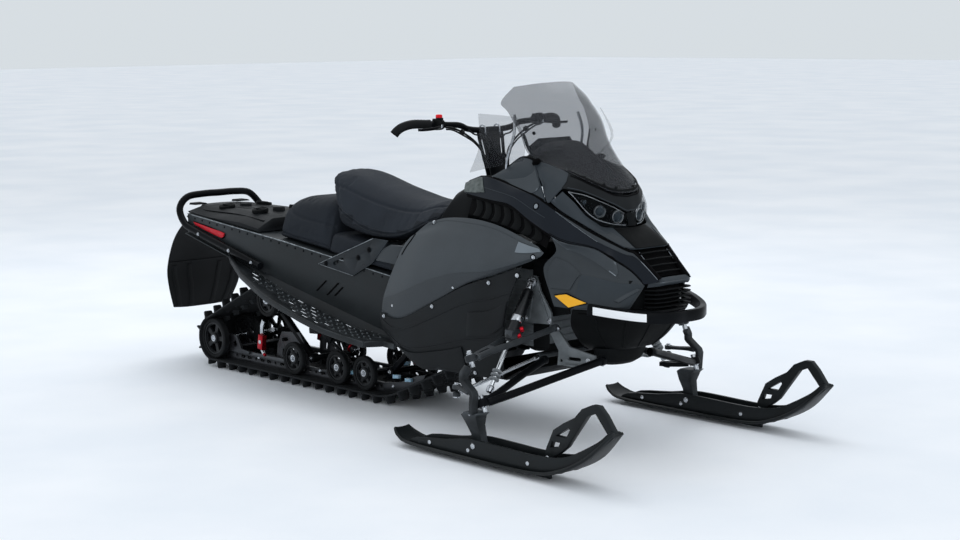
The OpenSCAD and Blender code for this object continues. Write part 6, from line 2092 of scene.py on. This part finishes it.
# ---------- stage ----------
class SNOWMOBILE_OT_stage(Builder, bpy.types.Operator):
    """Pale floor, soft light and the camera"""
    bl_idname = "snowmobile.stage"
    bl_label = "Stage"

    def build(self, finish):
        scene = bpy.context.scene
        mesh = bpy.data.meshes.new("floor")
        mesh.from_pydata([(-60, -60, 0), (60, -60, 0), (60, 60, 0), (-60, 60, 0)], [], [(0, 1, 2, 3)])
        floor = link("floor", mesh)
        snow = surface("Packed snow floor", srgb("#f7f9fc"), srgb("#eef2f7"), 0.7, 14.0, 0.6, mottle=900,
                       specular_ior_level=0.2)
        mesh.materials.append(snow)
        world = bpy.data.worlds.new("Overcast sky")
        world.use_nodes = True
        scene.world = world
        tree = world.node_tree
        tree.nodes.clear()
        path = add(tree, "ShaderNodeLightPath")
        place = add(tree, "ShaderNodeTexCoord")
        axis = add(tree, "ShaderNodeSeparateXYZ", {0: place.outputs["Generated"]})
        height = add(tree, "ShaderNodeMapRange", {"Value": axis.outputs["Z"], "From Min": -0.05,
                                                  "From Max": 0.6})
        sky = add(tree, "ShaderNodeMix", {0: height.outputs[0], 6: srgb("#dce3e8"), 7: srgb("#eaeff4")},
                  data_type="RGBA")
        seen = add(tree, "ShaderNodeMath", {0: path.outputs["Is Camera Ray"],
                                            1: path.outputs["Is Glossy Ray"]}, operation="MAXIMUM")
        clear = add(tree, "ShaderNodeMath", {0: seen.outputs[0], 1: path.outputs["Is Transmission Ray"]},
                    operation="MAXIMUM")
        strength = add(tree, "ShaderNodeMapRange", {"Value": clear.outputs[0], "To Min": 0.98,
                                                    "To Max": 0.94})
        back = add(tree, "ShaderNodeBackground", {"Color": sky.outputs[2], "Strength": strength.outputs[0]})
        add(tree, "ShaderNodeOutputWorld", {"Surface": back.outputs[0]})
        for name, at, size, power in (("Sky key", (-2.5, 1.5, 5.5), 5.0, 110),
                                      ("Front fill", (5.5, -3.5, 3.2), 3.5, 40)):
            light = bpy.data.lights.new(name, "AREA")
            light.size, light.energy, light.color = size, power, srgb("#f4f7fb")[:3]
            lamp = link(name, light)
            lamp.location = at
            lamp.rotation_euler = (Vector((0, 0, 0.5)) - Vector(at)).to_track_quat("-Z", "Y").to_euler()
        azimuth, pitch, roll = math.radians(47.326), math.radians(7.578), math.radians(-0.486)
        level = math.cos(pitch)
        back_way = Vector((math.sin(azimuth) * level, -math.cos(azimuth) * level, math.sin(pitch)))
        right = Vector((math.cos(azimuth), math.sin(azimuth), 0))
        up = back_way.cross(right)
        x = right * math.cos(roll) + up * math.sin(roll)
        y = up * math.cos(roll) - right * math.sin(roll)
        lens = bpy.data.cameras.new("Camera")
        lens.lens, lens.sensor_width = 68.14, 36
        camera = link("Camera", lens)
        place, turn = Matrix.Translation((5.289, -4.569, 1.441)), Matrix((x, y, back_way)).transposed()
        camera.matrix_world = place @ turn.to_4x4()
        scene.camera = camera
        scene.view_settings.view_transform = "Standard"


# ---------- add-on ----------
OPERATORS = (SNOWMOBILE_OT_hood, SNOWMOBILE_OT_nose, SNOWMOBILE_OT_headlights, SNOWMOBILE_OT_grille,
             SNOWMOBILE_OT_side_panels, SNOWMOBILE_OT_lower_panels, SNOWMOBILE_OT_louvres,
             SNOWMOBILE_OT_belly,
             SNOWMOBILE_OT_screen, SNOWMOBILE_OT_dash, SNOWMOBILE_OT_front_bumper, SNOWMOBILE_OT_front_frame,
             SNOWMOBILE_OT_steering, SNOWMOBILE_OT_skis, SNOWMOBILE_OT_handlebar, SNOWMOBILE_OT_seats,
             SNOWMOBILE_OT_console, SNOWMOBILE_OT_tunnel, SNOWMOBILE_OT_running_boards, SNOWMOBILE_OT_tail,
             SNOWMOBILE_OT_track, SNOWMOBILE_OT_rear_suspension, SNOWMOBILE_OT_engine, SNOWMOBILE_OT_stage)


class SNOWMOBILE_PT_panel(bpy.types.Panel):
    """Lists the settings and every piece"""
    bl_idname = "SNOWMOBILE_PT_panel"
    bl_label = "Trail Snowmobile"
    bl_space_type = "VIEW_3D"
    bl_region_type = "UI"
    bl_category = "Snowmobile"

    def draw(self, context):
        settings = context.scene.snowmobile_look
        for key in settings.bl_rna.properties.keys():
            if key not in ("rna_type", "name"):
                self.layout.prop(settings, key)
        for operator in OPERATORS:
            self.layout.operator(operator.bl_idname)


CLASSES = (SNOWMOBILE_PG_look,) + OPERATORS + (SNOWMOBILE_PT_panel,)


def register():
    for item in CLASSES:
        bpy.utils.register_class(item)
    bpy.types.Scene.snowmobile_look = PointerProperty(type=SNOWMOBILE_PG_look)


def unregister():
    del bpy.types.Scene.snowmobile_look
    for item in reversed(CLASSES):
        bpy.utils.unregister_class(item)


def main():
    register()
    for operator in OPERATORS:
        group, name = operator.bl_idname.split(".")
        if getattr(getattr(bpy.ops, group), name)() != {"FINISHED"}:
            raise RuntimeError(f"{operator.bl_label} didn't finish")


if __name__ == "__main__":
    main()
